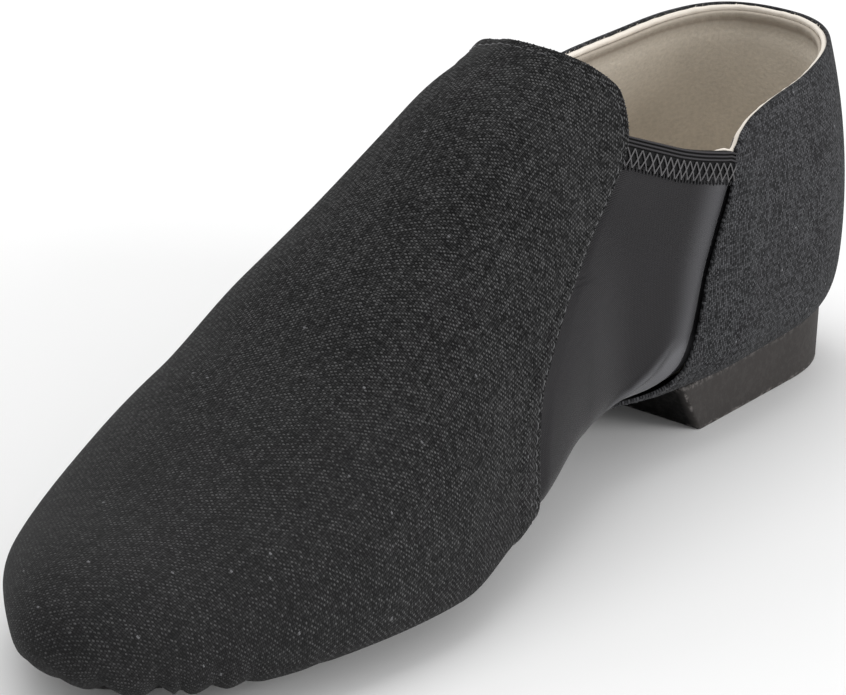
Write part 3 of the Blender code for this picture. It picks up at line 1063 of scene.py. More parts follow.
@dataclass(frozen=True)
class Elastic:
    """Ribbed elastic with painted shade in the grooves and a painted highlight on the ribs; its lower half,
    under the stitches, is darker.
    """

    ribs_end: float = 2.3 * MM
    pitch: float = 0.76 * MM
    rib: tuple[float, float, float] = (0.046, 0.044, 0.047)
    groove: tuple[float, float, float] = (0.002, 0.002, 0.002)
    band: tuple[float, float, float] = (0.004, 0.004, 0.0045)

    def material(self) -> Material:
        """The material, across the width of the elastic.

        Returns:
            The finished material.
        """
        paint = Paint("black_elastic")
        u, v = paint.cloth()
        across = (v * (math.pi / self.pitch)).math("SINE").math("ABSOLUTE")
        courses = (u * (2 * math.pi / (0.42 * MM)) + v * 3000).math("SINE") * 0.5 + 0.5
        # Painted shade in the grooves between the ribs and a painted highlight on the ribs.
        ribs = paint.blend(across ** 2.2, self.groove, self.rib)
        below = v.ramp(self.ribs_end - 0.1 * MM, self.ribs_end + 0.1 * MM)
        colour = paint.blend(below, ribs, self.band)
        return paint.finish(colour, 0.6, courses * 0.6 + across * 0.4, 0.05 * MM, Specular_IOR_Level=0.10)


@dataclass(frozen=True)
class Rubber:
    """Dull dark rubber, scuffed pale where the mesh says that it is worn, and darkened near black by painted
    shade where the mesh marks it.
    """

    name: str
    colour: tuple[float, float, float]
    worn: tuple[float, float, float] = (0.42, 0.38, 0.34)
    # Near-black colour of the painted shade.
    painted_shade: tuple[float, float, float] = (0.003, 0.003, 0.003)
    grain: float = 0.5 * MM

    def material(self) -> Material:
        """The material, on object coordinates.

        Returns:
            The finished material.
        """
        paint = Paint(self.name)
        where = paint.place()
        grain = paint.noise(where, 1 / self.grain, 3.0, 0.6)
        cloudy = paint.noise(where, 90.0, 4.0, 0.6)
        dark = tuple(channel * 0.72 for channel in self.colour)
        light = tuple(channel * 1.28 for channel in self.colour)
        base = paint.blend(grain * 0.35 + cloudy * 0.65, dark, light)
        broken = paint.noise(where, 700.0, 4.0, 0.7).ramp(0.45, 0.62)
        wear = (paint.attribute("wear") * broken).math("MINIMUM", 1.0)
        # Painted shade: the heel's front face, in shadow under the arch, is painted near black.
        base = paint.blend(paint.attribute("painted_shade"), base, self.painted_shade)
        colour = paint.blend(wear, base, self.worn)
        relief = grain * 0.7 + cloudy * 0.3
        return paint.finish(colour, 0.66, relief, 0.05 * MM, Specular_IOR_Level=0.09)


# Repeats along a path, by Geometry Nodes


@dataclass(frozen=True)
class Stitch:
    """Thread that is laid again and again, in millimetres: x is along the path, y across it, z out."""

    spacing: float
    radius: float
    scatter: float
    turn: float
    start: Triple
    over: Triple
    end: Triple

    def inputs(self) -> dict[str, object]:
        """Values of the tree's inputs, in metres, by name.

        Returns:
            Each input's value.
        """
        places = {"From": self.start, "Over": self.over, "To": self.end}
        values = {name: tuple(number * MM for number in place) for name, place in places.items()}
        values.update(Spacing=self.spacing * MM, Radius=self.radius * MM)
        values.update(Scatter=self.scatter, Turn=self.turn)
        return values


class Repeat:
    """A tree of Geometry Nodes that lays threads along a path at an even spacing."""

    SIZES = ("Spacing", "Radius", "Scatter", "Turn")
    PLACES = ("From", "Over", "To")

    def __init__(self) -> None:
        """Build the tree."""
        self.tree = bpy.data.node_groups.new("threads_along_path", "GeometryNodeTree")
        sockets = self.tree.interface
        sockets.new_socket("Geometry", in_out="INPUT", socket_type="NodeSocketGeometry")
        for name in self.SIZES:
            sockets.new_socket(name, in_out="INPUT", socket_type="NodeSocketFloat")
        for name in self.PLACES:
            sockets.new_socket(name, in_out="INPUT", socket_type="NodeSocketVector")
        sockets.new_socket("Seed", in_out="INPUT", socket_type="NodeSocketInt")
        sockets.new_socket("Material", in_out="INPUT", socket_type="NodeSocketMaterial")
        sockets.new_socket("Geometry", in_out="OUTPUT", socket_type="NodeSocketGeometry")
        self.source = self.add("NodeGroupInput")
        given = self.source.outputs
        curve = self.add("GeometryNodeMeshToCurve", Mesh=given["Geometry"])
        evenly = self.add(
            "GeometryNodeResampleCurve", {"mode": "LENGTH"}, Curve=curve.outputs[0], Length=given["Spacing"]
        )
        bent = self.add(
            "GeometryNodeCurveQuadraticBezier",
            Resolution=6, Start=given["From"], Middle=given["Over"], End=given["To"],
        )
        round_ = self.add("GeometryNodeCurvePrimitiveCircle", Resolution=6, Radius=given["Radius"])
        profile = round_.outputs[0]
        thread = self.add("GeometryNodeCurveToMesh", Curve=bent.outputs[0], Profile_Curve=profile)
        thread.inputs["Fill Caps"].default_value = True
        tangent = self.add("GeometryNodeInputTangent")
        out = self.add("GeometryNodeInputNamedAttribute", {"data_type": "FLOAT_VECTOR"}, Name="out")
        along = self.add("FunctionNodeAlignRotationToVector", {"axis": "X"}, Vector=tangent.outputs[0])
        upright = self.add(
            "FunctionNodeAlignRotationToVector", {"axis": "Z", "pivot_axis": "X"},
            Rotation=along.outputs[0], Vector=out.outputs[0],
        )
        turn = self.add("ShaderNodeCombineXYZ", X=0.0, Y=0.0, Z=0.0)
        chance = self.add("FunctionNodeRandomValue", {"data_type": "FLOAT"}, Seed=given["Seed"])
        limit = self.add("ShaderNodeMath", {"operation": "MULTIPLY"})
        self.link(given["Turn"], limit.inputs[0])
        limit.inputs[1].default_value = -1.0
        self.link(limit.outputs[0], chance.inputs[2])
        self.link(given["Turn"], chance.inputs[3])
        self.link(chance.outputs[1], turn.inputs["Z"])
        local = {"rotation_space": "LOCAL"}
        swung = self.add("FunctionNodeRotateRotation", local, Rotation=upright.outputs[0])
        self.link(turn.outputs[0], swung.inputs[1])
        size = self.add("FunctionNodeRandomValue", {"data_type": "FLOAT"}, Seed=given["Seed"])
        for position, sign in ((2, "SUBTRACT"), (3, "ADD")):
            bound = self.add("ShaderNodeMath", {"operation": sign})
            bound.inputs[0].default_value = 1.0
            self.link(given["Scatter"], bound.inputs[1])
            self.link(bound.outputs[0], size.inputs[position])
        laid = self.add(
            "GeometryNodeInstanceOnPoints",
            Points=evenly.outputs[0], Instance=thread.outputs[0], Rotation=swung.outputs[0],
        )
        self.link(size.outputs[1], laid.inputs["Scale"])
        real = self.add("GeometryNodeRealizeInstances", Geometry=laid.outputs[0])
        material = given["Material"]
        painted = self.add("GeometryNodeSetMaterial", Geometry=real.outputs[0], Material=material)
        self.add("NodeGroupOutput", Geometry=painted.outputs[0])

    def add(self, kind: str, settings: dict | None = None, **inputs: object) -> Node:
        """Add a node with its settings and sockets.

        Args:
            kind: Type of the node.
            settings: Its settings.
            inputs: Values or links of its sockets, by name.

        Returns:
            The node.
        """
        node = self.tree.nodes.new(kind)
        for name, value in (settings or {}).items():
            setattr(node, name, value)
        for name, value in inputs.items():
            socket = node.inputs[name.replace("_", " ")]
            if isinstance(value, NodeSocket):
                self.link(value, socket)
            else:
                socket.default_value = value
        return node

    def link(self, start: NodeSocket, end: NodeSocket) -> None:
        """Link two sockets."""
        self.tree.links.new(start, end)

    def along(self, path: Array, out: Array, material: Material, seed: int, stitch: Stitch) -> Mesh:
        """Lay threads along a path.

        Args:
            path: Points of the path.
            out: Outward direction at each point.
            material: Material of the threads.
            seed: Seed of what is random.
            stitch: Sizes of one thread and how far apart they lie.

        Returns:
            One plain mesh of all the threads.
        """
        guide = bpy.data.meshes.new("path")
        guide.from_pydata(path.tolist(), [(k, k + 1) for k in range(len(path) - 1)], [])
        layer = guide.attributes.new("out", "FLOAT_VECTOR", "POINT")
        layer.data.foreach_set("vector", np.asarray(out, np.float32).ravel())
        holder = new_piece("path", guide)
        modifier = holder.modifiers.new("threads", "NODES")
        modifier.node_group = self.tree
        chosen = {**stitch.inputs(), "Seed": seed, "Material": material}
        for item in self.tree.interface.items_tree:
            if item.in_out == "INPUT" and item.name in chosen:
                modifier[item.identifier] = chosen[item.name]
        holder.update_tag()
        evaluated = holder.evaluated_get(bpy.context.evaluated_depsgraph_get())
        mesh = bpy.data.meshes.new_from_object(evaluated)
        bpy.data.objects.remove(holder, do_unlink=True)
        bpy.data.meshes.remove(guide)
        mesh.materials.clear()
        mesh.materials.append(material)
        mesh.shade_smooth()
        return mesh


def joined(name: str, meshes: list[Mesh]) -> Object:
    """One piece from several meshes, each with its own material.

    Args:
        name: Name of the piece.
        meshes: Meshes to join.

    Returns:
        The piece.
    """
    work = bmesh.new()
    materials: list[Material] = []
    for mesh in meshes:
        before = len(work.faces)
        work.from_mesh(mesh)
        work.faces.ensure_lookup_table()
        own = mesh.materials[0]
        if own not in materials:
            materials.append(own)
        for face in work.faces[before:]:
            face.material_index = materials.index(own)
            face.smooth = True
        bpy.data.meshes.remove(mesh)
    whole = bpy.data.meshes.new(name)
    work.to_mesh(whole)
    work.free()
    for material in materials:
        whole.materials.append(material)
    return new_piece(name, whole)


def hand_over(piece: Object, slot: Slot, *nodes: str) -> Object:
    """Let a finished piece ride on the shoe and hide the nodes that it stands for.

    Args:
        piece: The finished piece.
        slot: Slot of its material; not used.
        nodes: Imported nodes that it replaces.

    Returns:
        The piece.
    """
    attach(piece, "root")
    if nodes:
        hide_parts(*nodes)
    LOG.info("%s: %d faces", piece.name, len(piece.data.polygons))
    return piece


# Pieces of cloth

# Swellings of the canvas: height, then middle and width round the section and along the shoe.
SWELLS = (
    (1.15 * MM, 2.02, 0.36, 0.452, 0.036),
    (-0.8 * MM, 1.85, 0.12, 0.408, 0.020),
    (-0.8 * MM, 2.35, 0.45, 0.870, 0.075),
)


@dataclass
class Kit:
    """What every piece of the shoe is made with."""

    last: Last
    seams: Seams
    threads: Repeat
    finishes: dict[str, Material]

    def run_at(self, angle: float, station: Array) -> Array:
        """Distance from the back to each station, along one angle of the last."""
        dense = denser_at_ends(PATH_STEPS)
        path = self.last.point(dense, np.full(dense.shape, angle))
        return np.interp(station, dense, gone_along(path))

    def cloth_map(self, grid: Grid, fan: float = 0.86) -> Array:
        """Place of each point on flat cloth: straight over the instep, then fanned out over the toe.

        Args:
            grid: Grid on the last with full rings.
            fan: Station of the middle of the fan.

        Returns:
            Two coordinates for each point, in metres.
        """
        last = self.last
        quarter = np.full(grid.angle.shape, RIDGE)
        inner = grid.angle < RIDGE
        across = last.arc(grid.station, quarter, grid.angle) * np.where(inner, -1, 1)
        along = self.run_at(RIDGE, grid.station)
        rim = np.clip(grid.angle, 0, math.pi)
        extra = last.arc(grid.station, rim, grid.angle)
        ends = last.point(grid.station, rim)
        centre = np.array([float(last.shape(np.array(fan))["middle"]), last.length * (0.5 - fan)])
        share = np.sin(np.linspace(0, math.pi / 2, 33))
        plan = centre + (ends[..., None, :2] - centre) * share[:, None]
        height = last.top_height(plan[..., 0], plan[..., 1])
        path = np.concatenate([plan, height[..., None]], axis=-1)
        reach = np.linalg.norm(np.diff(path, axis=-2), axis=-1).sum(axis=-1) + extra
        turn = np.arctan2(ends[..., 0] - centre[0], centre[1] - ends[..., 1])
        ahead = grid.station > fan
        across = np.where(ahead, -reach * np.sin(turn), across)
        along = np.where(ahead, self.run_at(RIDGE, np.array(fan)) + reach * np.cos(turn), along)
        return np.stack([across, along], axis=-1)

    def side_map(self, grid: Grid) -> Array:
        """Place of each point on cloth whose threads run level along the side.

        Args:
            grid: Grid on the last.

        Returns:
            Two coordinates for each point, in metres.
        """
        turn = np.where(grid.angle > BELOW, 0.0, -math.pi)
        sign = np.where(grid.angle > turn, 1, -1) * np.where(turn < 0, -1, 1)
        rise = self.last.arc(grid.station, turn, grid.angle) * sign
        along = [self.run_at(angle, grid.station) for angle in (0.0, -math.pi)]
        return np.stack([np.where(turn < 0, -along[1], along[0]), rise], axis=-1)

    def swell(self, grid: Grid) -> Array:
        """How far the canvas stands out at the tongue's outer corner and top and the toe's far side.

        Args:
            grid: Grid of the canvas or of its lining.

        Returns:
            Distance outwards of each point.
        """
        return sum(
            height * bell(grid.angle, turn, turn_width) * bell(grid.station, station, station_width)
            for height, turn, turn_width, station, station_width in SWELLS
        )

    def collar_span(self, station: Array) -> tuple[Array, Array]:
        """Angles from the inner collar down under the shoe and up to the outer collar."""
        return self.span_below(0.0)(station)

    def span_below(self, drop: float) -> Callable[[Array], tuple[Array, Array]]:
        """The same span, with its rims a distance under the collar line."""

        def span(station: Array) -> tuple[Array, Array]:
            """Angles of both rims at each station."""
            inner = self.seams.collar_angle(station, Side.INNER, drop)
            outer = self.seams.collar_angle(station, Side.OUTER, drop)
            return inner, -math.pi - outer

        return span

    def finish(self, piece: Object, material: str) -> Object:
        """Give a piece one material."""
        piece.data.materials.clear()
        piece.data.materials.append(self.finishes[material])
        return piece


def full_ring(station: Array) -> tuple[Array, Array]:
    """Angles of a whole ring that begins and ends underneath."""
    return np.full(station.shape, BELOW), np.full(station.shape, BELOW + 2 * math.pi)


def rounded_edge(distance: Array, radius: float) -> Array:
    """How deep a rounded edge lies at a distance from its rim."""
    short = np.clip(radius - distance, 0, radius)
    return radius - np.sqrt(np.maximum(radius**2 - short**2, 0))


def round_the_back(rows: Array, column: int = 0) -> Array:
    """Rows of a panel that goes round the back, a column in from its inner rim and then its outer rim."""
    return np.concatenate([rows[::-1, column], rows[1:, -1 - column]])


def line_at(grid: Grid, points: Array, inset: float, from_far_end: bool = False) -> tuple[Array, Array]:
    """Points and normals of a grid at one distance from its start or end.

    Args:
        grid: The grid.
        points: Its points, moved to the surface to follow.
        inset: Distance from the edge.
        from_far_end: Whether to count from the far edge.

    Returns:
        A point and a normal for each column.
    """
    distance = grid.from_end[::-1] if from_far_end else grid.from_start
    ordered = points[::-1] if from_far_end else points
    normals = grid.normals[::-1] if from_far_end else grid.normals
    path, out = [], []
    for k in range(points.shape[1]):
        path.append([np.interp(inset, distance[:, k], ordered[:, k, axis]) for axis in range(3)])
        out.append([np.interp(inset, distance[:, k], normals[:, k, axis]) for axis in range(3)])
    return np.array(path), unit(np.array(out))


@dataclass(frozen=True)
class Pleat:
    """Fold line of the lasted toe: direction from the toe's centre in degrees, positive inwards."""

    turn: float
    depth: float
    width: float


@dataclass
class CanvasVamp:
    """Canvas panel over toe, ball and instep, with a turned and stitched edge."""

    kit: Kit
    thickness: float = 0.9 * MM
    turned: float = 0.32 * MM
    turned_width: float = 8.5 * MM
    corner: float = 0.55 * MM
    stitch_inset: float = 2.1 * MM
    stitch_pull: float = 0.22 * MM
    fluff_inset: float = 0.1 * MM
    seam_end: float = 6 * MM
    stitch: Stitch = Stitch(2.7, 0.18, 0.12, 0.14, (-1.0, 0, -0.25), (0, 0, 0.55), (1.0, 0, -0.25))
    fluff: Stitch = Stitch(0.75, 0.06, 0.4, 1.2, (-0.2, 0, -0.1), (0, 0, 0.16), (0.2, 0, -0.1))
    toe_centre: Pair = (2.0 * MM, -88.0 * MM)
    pleat_top: float = 16.0 * MM
    fold: float = 0.35 * MM
    hollow: float = 1.5 * MM
    hollow_turn: float = -0.45
    pleats: tuple[Pleat, ...] = (
        Pleat(-122, 1.0 * MM, 3.4 * MM),
        Pleat(-104, 1.6 * MM, 3.8 * MM),
        Pleat(-86, 2.0 * MM, 3.6 * MM),
        Pleat(-69, 1.6 * MM, 3.2 * MM),
        Pleat(-52, 2.2 * MM, 3.8 * MM),
        Pleat(-37, 1.5 * MM, 3.8 * MM),
        Pleat(-23, 3.2 * MM, 3.4 * MM),
        Pleat(-3, 0.8 * MM, 3.0 * MM),
        Pleat(9, 0.8 * MM, 2.6 * MM),
        Pleat(22, 2.2 * MM, 3.4 * MM),
        Pleat(39.5, 2.2 * MM, 3.2 * MM),
        Pleat(47, 1.2 * MM, 1.8 * MM),
        Pleat(59, 1.4 * MM, 3.0 * MM),
        Pleat(72, 0.9 * MM, 3.4 * MM),
        Pleat(98, 0.6 * MM, 3.6 * MM),
    )
    outer: Array = field(init=False)

    def pleat_depth(self, grid: Grid) -> Array:
        """Depth of the toe's pleats at each point.

        Args:
            grid: Grid of the panel.

        Returns:
            Distance inwards of each point.
        """
        x, y = grid.points[..., 0] - self.toe_centre[0], grid.points[..., 1] - self.toe_centre[1]
        turn = np.arctan2(x, -y)
        reach = np.hypot(x, y)
        depth = np.zeros(turn.shape)
        for pleat in self.pleats:
            off = np.abs(turn - math.radians(pleat.turn)) * np.maximum(reach, 8 * MM)
            depth = np.maximum(depth, pleat.depth * np.maximum(1 - off / pleat.width, 0) ** 1.3)
        fade = 1 - step(0.30, 1.0, grid.points[..., 2] / self.pleat_top)
        underneath = grid.points[..., 2] < self.kit.last.shape(grid.station)["widest"]
        near_edge = np.where(underneath, step(12 * MM, 22 * MM, reach), 1)
        low = 1 - step(8 * MM, 19 * MM, grid.points[..., 2])
        hollow = self.hollow * bell(turn, self.hollow_turn, 0.34) * low
        return ((depth - self.fold) * fade + hollow) * near_edge * step(-12 * MM, 4 * MM, -y)

    def build(self) -> Grid:
        """Build the panel and return its grid with the outer points.

        Returns:
            The panel's grid.
        """
        columns = Places(near_start=(0.0,), near_end=(0.0,), between=219)
        toe_lines = tuple(0.65 * MM * k for k in range(72))
        rows = Places(near_start=EDGE_LINES, near_end=toe_lines, between=70)
        grid = lay_grid(self.kit.last, full_ring, self.kit.seams.vamp, None, columns, rows)
        edge = grid.from_start
        raised = self.turned * (1 - step(self.turned_width - 1 * MM, self.turned_width + 0.5 * MM, edge))
        pull = self.stitch_pull * bell(edge, self.stitch_inset, 0.8 * MM)
        outer_depth = rounded_edge(edge, self.corner) - raised + pull + self.pleat_depth(grid)
        inner_depth = self.thickness - 0.25 * rounded_edge(edge, self.corner) + self.pleat_depth(grid)
        stand_out = self.kit.swell(grid)
        outer, inner = grid.moved(outer_depth - stand_out), grid.moved(inner_depth - stand_out)
        piece = shell("canvas_vamp", outer, inner, self.kit.cloth_map(grid), Border(False, True, False))
        hand_over(self.kit.finish(piece, "canvas"), Slot.CANVAS, "vamp")
        self.outer = outer
        return grid

    def dress(self, grid: Grid) -> None:
        """Sew the stitch row beside the turned edge.

        Args:
            grid: Grid of the panel.
        """
        path, out = line_at(grid, self.outer, self.stitch_inset)
        sewn = path[:, 2] > self.seam_end
        lay, looks = self.kit.threads.along, self.kit.finishes
        stitches = lay(path[sewn], out[sewn], looks["thread"], 11, self.stitch)
        fibres = lay(*line_at(grid, self.outer, self.fluff_inset), looks["lint"], 12, self.fluff)
        hand_over(joined("vamp_stitching", [stitches, fibres]), Slot.CANVAS)


@dataclass
class CanvasCounter:
    """Canvas panel round the back, its lower corners swept forward in front of the heel."""

    kit: Kit
    thickness: float = 0.9 * MM
    corner: float = 0.5 * MM
    hem_inset: float = 1.2 * MM
    seam_from: Pair = (0.130, 16.2)
    seam_to: Pair = (0.185, 4.8)
    tuft_rows: tuple[Triple, ...] = ((21, 0.10, 0.34), (22, 0.45, 0.55), (23, 0.95, 0.80), (24, 1.6, 1.3))
    tuft: Stitch = Stitch(0.34, 0.036, 0.7, 3.1, (0, 0, -0.05), (0.15, 0.2, 0.22), (0.5, 0.3, 0.12))
    loop: Stitch = Stitch(1.35, 0.11, 0.25, 0.5, (-0.32, 0, -0.5), (0, 0, 0.12), (0.32, 0, -0.5))
    seam_stitch: Stitch = Stitch(1.3, 0.10, 0.2, 0.15, (-0.45, 0, -0.10), (0, 0, 0.10), (0.45, 0, -0.10))
    ragged: Triple = (0.12 * MM, 1.7 * MM, 4.1 * MM)
    ragged_reach: float = 1.5 * MM
    hem_pull: float = 0.15 * MM
    hem_width: float = 0.5 * MM
    lip_inset: float = 0.75 * MM
    lip_rise: float = 0.02 * MM
    outer: Array = field(init=False)

    def build(self) -> Grid:
        """Build the panel.

        Returns:
            Its grid.
        """
        lines = EDGE_LINES[:6]
        columns = Places(near_start=lines, near_end=lines, between=150)
        rows = Places(near_start=(0.0,), near_end=EDGE_LINES, between=90)
        grid = lay_grid(self.kit.last, self.kit.collar_span, None, self.kit.seams.counter, columns, rows)
        rim = np.minimum(grid.from_end, grid.from_rim)
        height, short, long = self.ragged
        wobble = height * np.sin(grid.from_top / short + 2 * np.sin(grid.from_top / long))
        ragged = wobble * np.exp(-grid.from_end / self.ragged_reach)
        pull = self.hem_pull * bell(grid.from_end, self.hem_inset, self.hem_width)
        outer = grid.moved(rounded_edge(rim, self.corner) - ragged + pull)
        inner = grid.moved(self.thickness - 0.2 * rounded_edge(rim, self.corner))
        piece = shell("canvas_counter", outer, inner, self.kit.side_map(grid), Border(True, False, True))
        hand_over(self.kit.finish(piece, "counter"), Slot.CANVAS, "counter")
        self.outer = outer
        return grid

    def dress(self, grid: Grid) -> None:
        """Add the fibres of the rough edge, the collar's stitches and the faint seam on the inner side.

        Args:
            grid: Grid of the panel.
        """
        lay, looks = self.kit.threads.along, self.kit.finishes
        tufts = []
        for seed, inset, spacing in self.tuft_rows:
            edge, out = line_at(grid, self.outer, inset * MM, True)
            tufts.append(lay(edge, out, looks["lint"], seed, replace(self.tuft, spacing=spacing)))
        loops = lay(*self.rim_line(grid), looks["tape"], 25, self.loop)
        share = np.linspace(0, 1, 30)
        station = self.seam_from[0] + (self.seam_to[0] - self.seam_from[0]) * share
        angle = np.radians(self.seam_from[1] + (self.seam_to[1] - self.seam_from[1]) * share)
        seam = self.kit.last.point(station, angle)
        away = np.tile([1.0, 0.0, 0.0], (len(seam), 1))
        tufts.append(lay(seam, away, looks["lint"], 26, self.seam_stitch))
        hand_over(joined("counter_edge_fibres", tufts), Slot.CANVAS)
        hand_over(joined("collar_stitches", [loops]), Slot.LINING)

    def rim_line(self, grid: Grid) -> tuple[Array, Array]:
        """Inner lip of the collar, from the inner side round the back, with the upward direction."""
        path, out = round_the_back(grid.points), round_the_back(grid.normals)
        up = unit(path - round_the_back(grid.points, 6))
        return path - out * self.lip_inset + up * self.lip_rise, up


@dataclass
class StretchWaist:
    """Stretch cloth between the canvas panels, which runs under both of them."""

    kit: Kit
    under_vamp: float = 1.1 * MM
    under_counter: float = 2.3 * MM
    proud: float = 0.35 * MM
    overlap: float = 3.0 * MM
    thickness: float = 0.55 * MM
    rim_drop: float = 1.2 * MM
    roll: Pair = (4.5 * MM, 12.0 * MM)
    fold: float = 0.7 * MM
    seam_lean: float = 0.65
    arch: Pair = (20 * MM, 42 * MM)
    crease: tuple[Pair, ...] = (
        (8 * MM, 19.0 * MM), (18 * MM, 20.5 * MM), (22.8 * MM, 21.0 * MM), (28.9 * MM, 23.2 * MM),
        (32.7 * MM, 25.4 * MM), (36.5 * MM, 28.0 * MM),
    )
    crease_width: float = 1.3 * MM
    trough: Triple = (0.6, 3.6 * MM, 1.8 * MM)
    seam_fade: Pair = (-0.5 * MM, 3.5 * MM)
    binding_fade: Pair = (3.0 * MM, 7.5 * MM)
    groove_band: Pair = (3.6 * MM, 4.2 * MM)
    # How strong the painted sheen, the painted light in the corner and the painted highlight on the crease
    # are.
    groove_bloom: Pair = (0.48, 0.12)
    corner_bloom: float = 0.75
    crease_bloom: Triple = (0.85, -0.3 * MM, 0.7 * MM)

    def crease_places(self, grid: Grid) -> tuple[Array, Array, Array]:
        """Where each point lies from the arch's crease, which shows on the inner side alone.

        Args:
            grid: Grid of the band.

        Returns:
            Distance, positive below the crease, the share along it, and how much of the crease shows.
        """
        y, z = grid.points[..., 1], grid.points[..., 2]
        ys, zs = (np.array(values) for values in zip(*self.crease))
        line = np.interp(y, ys, zs)
        slope = np.gradient(zs, ys)
        tilt = np.cos(np.arctan(np.interp(y, ys, slope)))
        share = np.clip((y - ys[0]) / (ys[-1] - ys[0]), -1, 2)
        seen = step(0.0, 0.6, share) * (1 - step(0.7, 1.15, share)) * (grid.points[..., 0] > 0)
        return (line - z) * tilt, share, seen

    def build(self) -> Grid:
        """Build the band and return its grid.

        Returns:
            The band's grid.
        """
        share = self.overlap / self.kit.last.length
        columns = Places(near_start=EDGE_LINES, near_end=EDGE_LINES, between=150)
        rows = Places(near_start=EDGE_LINES, near_end=EDGE_LINES, between=60)
        grid = lay_grid(
            self.kit.last, self.kit.span_below(self.rim_drop),
            lambda points: self.kit.seams.counter(points) + share,
            lambda points: self.kit.seams.vamp(points) - share,
            columns, rows,
        )
        depth = self.depth(grid)
        piece = shell(
            "stretch_waist", grid.moved(depth), grid.moved(depth + self.thickness), self.kit.side_map(grid),
            bloom=self.bloom(grid),
        )
        hand_over(self.kit.finish(piece, "stretch"), Slot.NEOPRENE, "upper")
        return grid

    def low(self, grid: Grid) -> Array:
        """1 in the arch and 0 up at the collar."""
        return 1 - step(*self.arch, grid.points[..., 2])

    def depth(self, grid: Grid) -> Array:
        """How deep the band lies: rolled in behind the counter, dipped under the vamp, folded in the arch.

        Args:
            grid: Grid of the band.

        Returns:
            Depth under the last's surface of each point.
        """
        radius = self.roll[0] + (self.roll[1] - self.roll[0]) * self.low(grid)
        turn = np.clip((grid.from_start - self.overlap) / radius, 0, 1)
        rolled = 1 - np.sqrt(1 - (1 - turn) ** 2)
        behind_seam = -self.kit.seams.vamp(grid.points) * self.kit.last.length * self.seam_lean
        free = np.minimum(step(*self.seam_fade, behind_seam), step(*self.binding_fade, grid.from_rim))
        depth = np.maximum(
            self.proud + (self.under_counter - self.proud) * rolled,
            self.under_vamp + (self.proud - self.under_vamp) * free,
        )
        below, _, seen = self.crease_places(grid)
        share, beneath, width = self.trough
        ridge = bell(below, 0.0, self.crease_width)
        return depth - self.fold * (ridge - share * bell(below, beneath, width)) * seen

    def bloom(self, grid: Grid) -> Array:
        """Painted light on the cloth: painted sheen by the counter's edge, a painted highlight on the crease
        and painted light in the corner below it.

        Args:
            grid: Grid of the band.

        Returns:
            Share of the pale colour of the painted light at each point.
        """
        below, share, seen = self.crease_places(grid)
        beside_groove = bell(grid.from_start - self.overlap, *self.groove_band)
        corner = step(*self.seam_fade, below) * step(0.2, 0.7, share) * (1 - step(1.6, 2.0, share))
        strength, above, width = self.crease_bloom
        bloom = beside_groove * (self.groove_bloom[0] + self.groove_bloom[1] * self.low(grid))
        bloom = bloom + self.corner_bloom * corner * (grid.points[..., 0] > 0)
        return np.clip(bloom + strength * bell(below, above, width) * seen, 0, 1)


@dataclass
class Linings:
    """Cloth linings inside the shoe."""

    kit: Kit
    rim_drop: float = 1.25 * MM
    behind: float = 2.25 * MM
    thin: Pair = (2.95 * MM, 3.15 * MM)
    swell: float = 0.35 * MM
    billow: float = 0.15 * MM
    ripple: Triple = (0.12 * MM, 1.6 * MM, 1.2 * MM)
    piping: tuple[Triple, ...] = ((0.08 * MM, 1.0 * MM, 0.5 * MM), (-0.18 * MM, 1.8 * MM, 0.4 * MM))
    reach: float = 9.0 * MM
    tuck: float = 0.9 * MM
    vamp_depth: float = 2.3 * MM
    at_tongue: float = 1.3 * MM
    in_toe: float = 2.6 * MM
    vamp_thickness: float = 0.7 * MM

    def build(self) -> None:
        """Build both linings."""
        self.build_quarter()
        self.build_vamp()

    def build_quarter(self) -> None:
        """Build the lining of the back and the waist, with a piped rim, a few soft billows and painted shade
        along the rim.
        """
        kit = self.kit
        share = self.reach / kit.last.length
        lines = EDGE_LINES[:8]
        grid = lay_grid(
            kit.last, kit.span_below(self.rim_drop), None, lambda points: kit.seams.vamp(points) - share,
            Places(lines, lines, 110), Places((0.0,), (0.0,), 120),
        )
        rim = grid.from_rim
        away = step(3 * MM, 8 * MM, rim)
        fold = np.sin(grid.from_top / (9 * MM)) * np.sin(grid.station * 31)
        fold = fold + 0.6 * np.sin(grid.station * 47 + 2)
        height, middle, width = self.ripple
        wave = height * np.sin(grid.station * 640) * bell(rim, middle, width)
        piping = sum(height * bell(rim, middle, width) for height, middle, width in self.piping)
        inner_depth = self.thin[1] + (self.swell + self.billow * fold) * away + piping + wave
        inner_depth = inner_depth - rounded_edge(rim, 0.4 * MM)
        outer_depth = self.behind + (self.thin[0] - self.behind) * away
        # Painted shade: darker along the rim, with a painted shadow line under the tape.
        shade = 0.62 * (1 - step(2.0 * MM, 5.5 * MM, rim)) + 0.30 * bell(rim, 2.0 * MM, 0.4 * MM)
        piece = shell(
            "quarter_lining", grid.moved(outer_depth), grid.moved(inner_depth), kit.side_map(grid),
            Border(True, False, True), shade=shade,
        )
        hand_over(kit.finish(piece, "lining"), Slot.LINING)

    def build_vamp(self) -> None:
        """Build the lining of the vamp, close behind the tongue and clear of the toe's pleats."""
        kit = self.kit
        share = self.tuck / kit.last.length
        grid = lay_grid(
            kit.last, full_ring, lambda points: kit.seams.vamp(points) - share, None,
            Places(between=99), Places(EDGE_LINES[:5], (0.0,), 80),
        )
        height = grid.points[..., 2]
        near_tongue = step(69 * MM, 75 * MM, height)
        in_toe = step(0.86, 0.92, grid.station) * (1 - step(12 * MM, 20 * MM, height))
        depth = self.vamp_depth - self.at_tongue * near_tongue + self.in_toe * in_toe - kit.swell(grid)
        uv = np.stack([grid.from_top, kit.run_at(RIDGE, grid.station)], axis=-1)
        outer, inner = grid.moved(depth), grid.moved(depth + self.vamp_thickness)
        piece = shell("vamp_lining", outer, inner, uv, Border(False, True, False))
        hand_over(kit.finish(piece, "lining"), Slot.LINING)


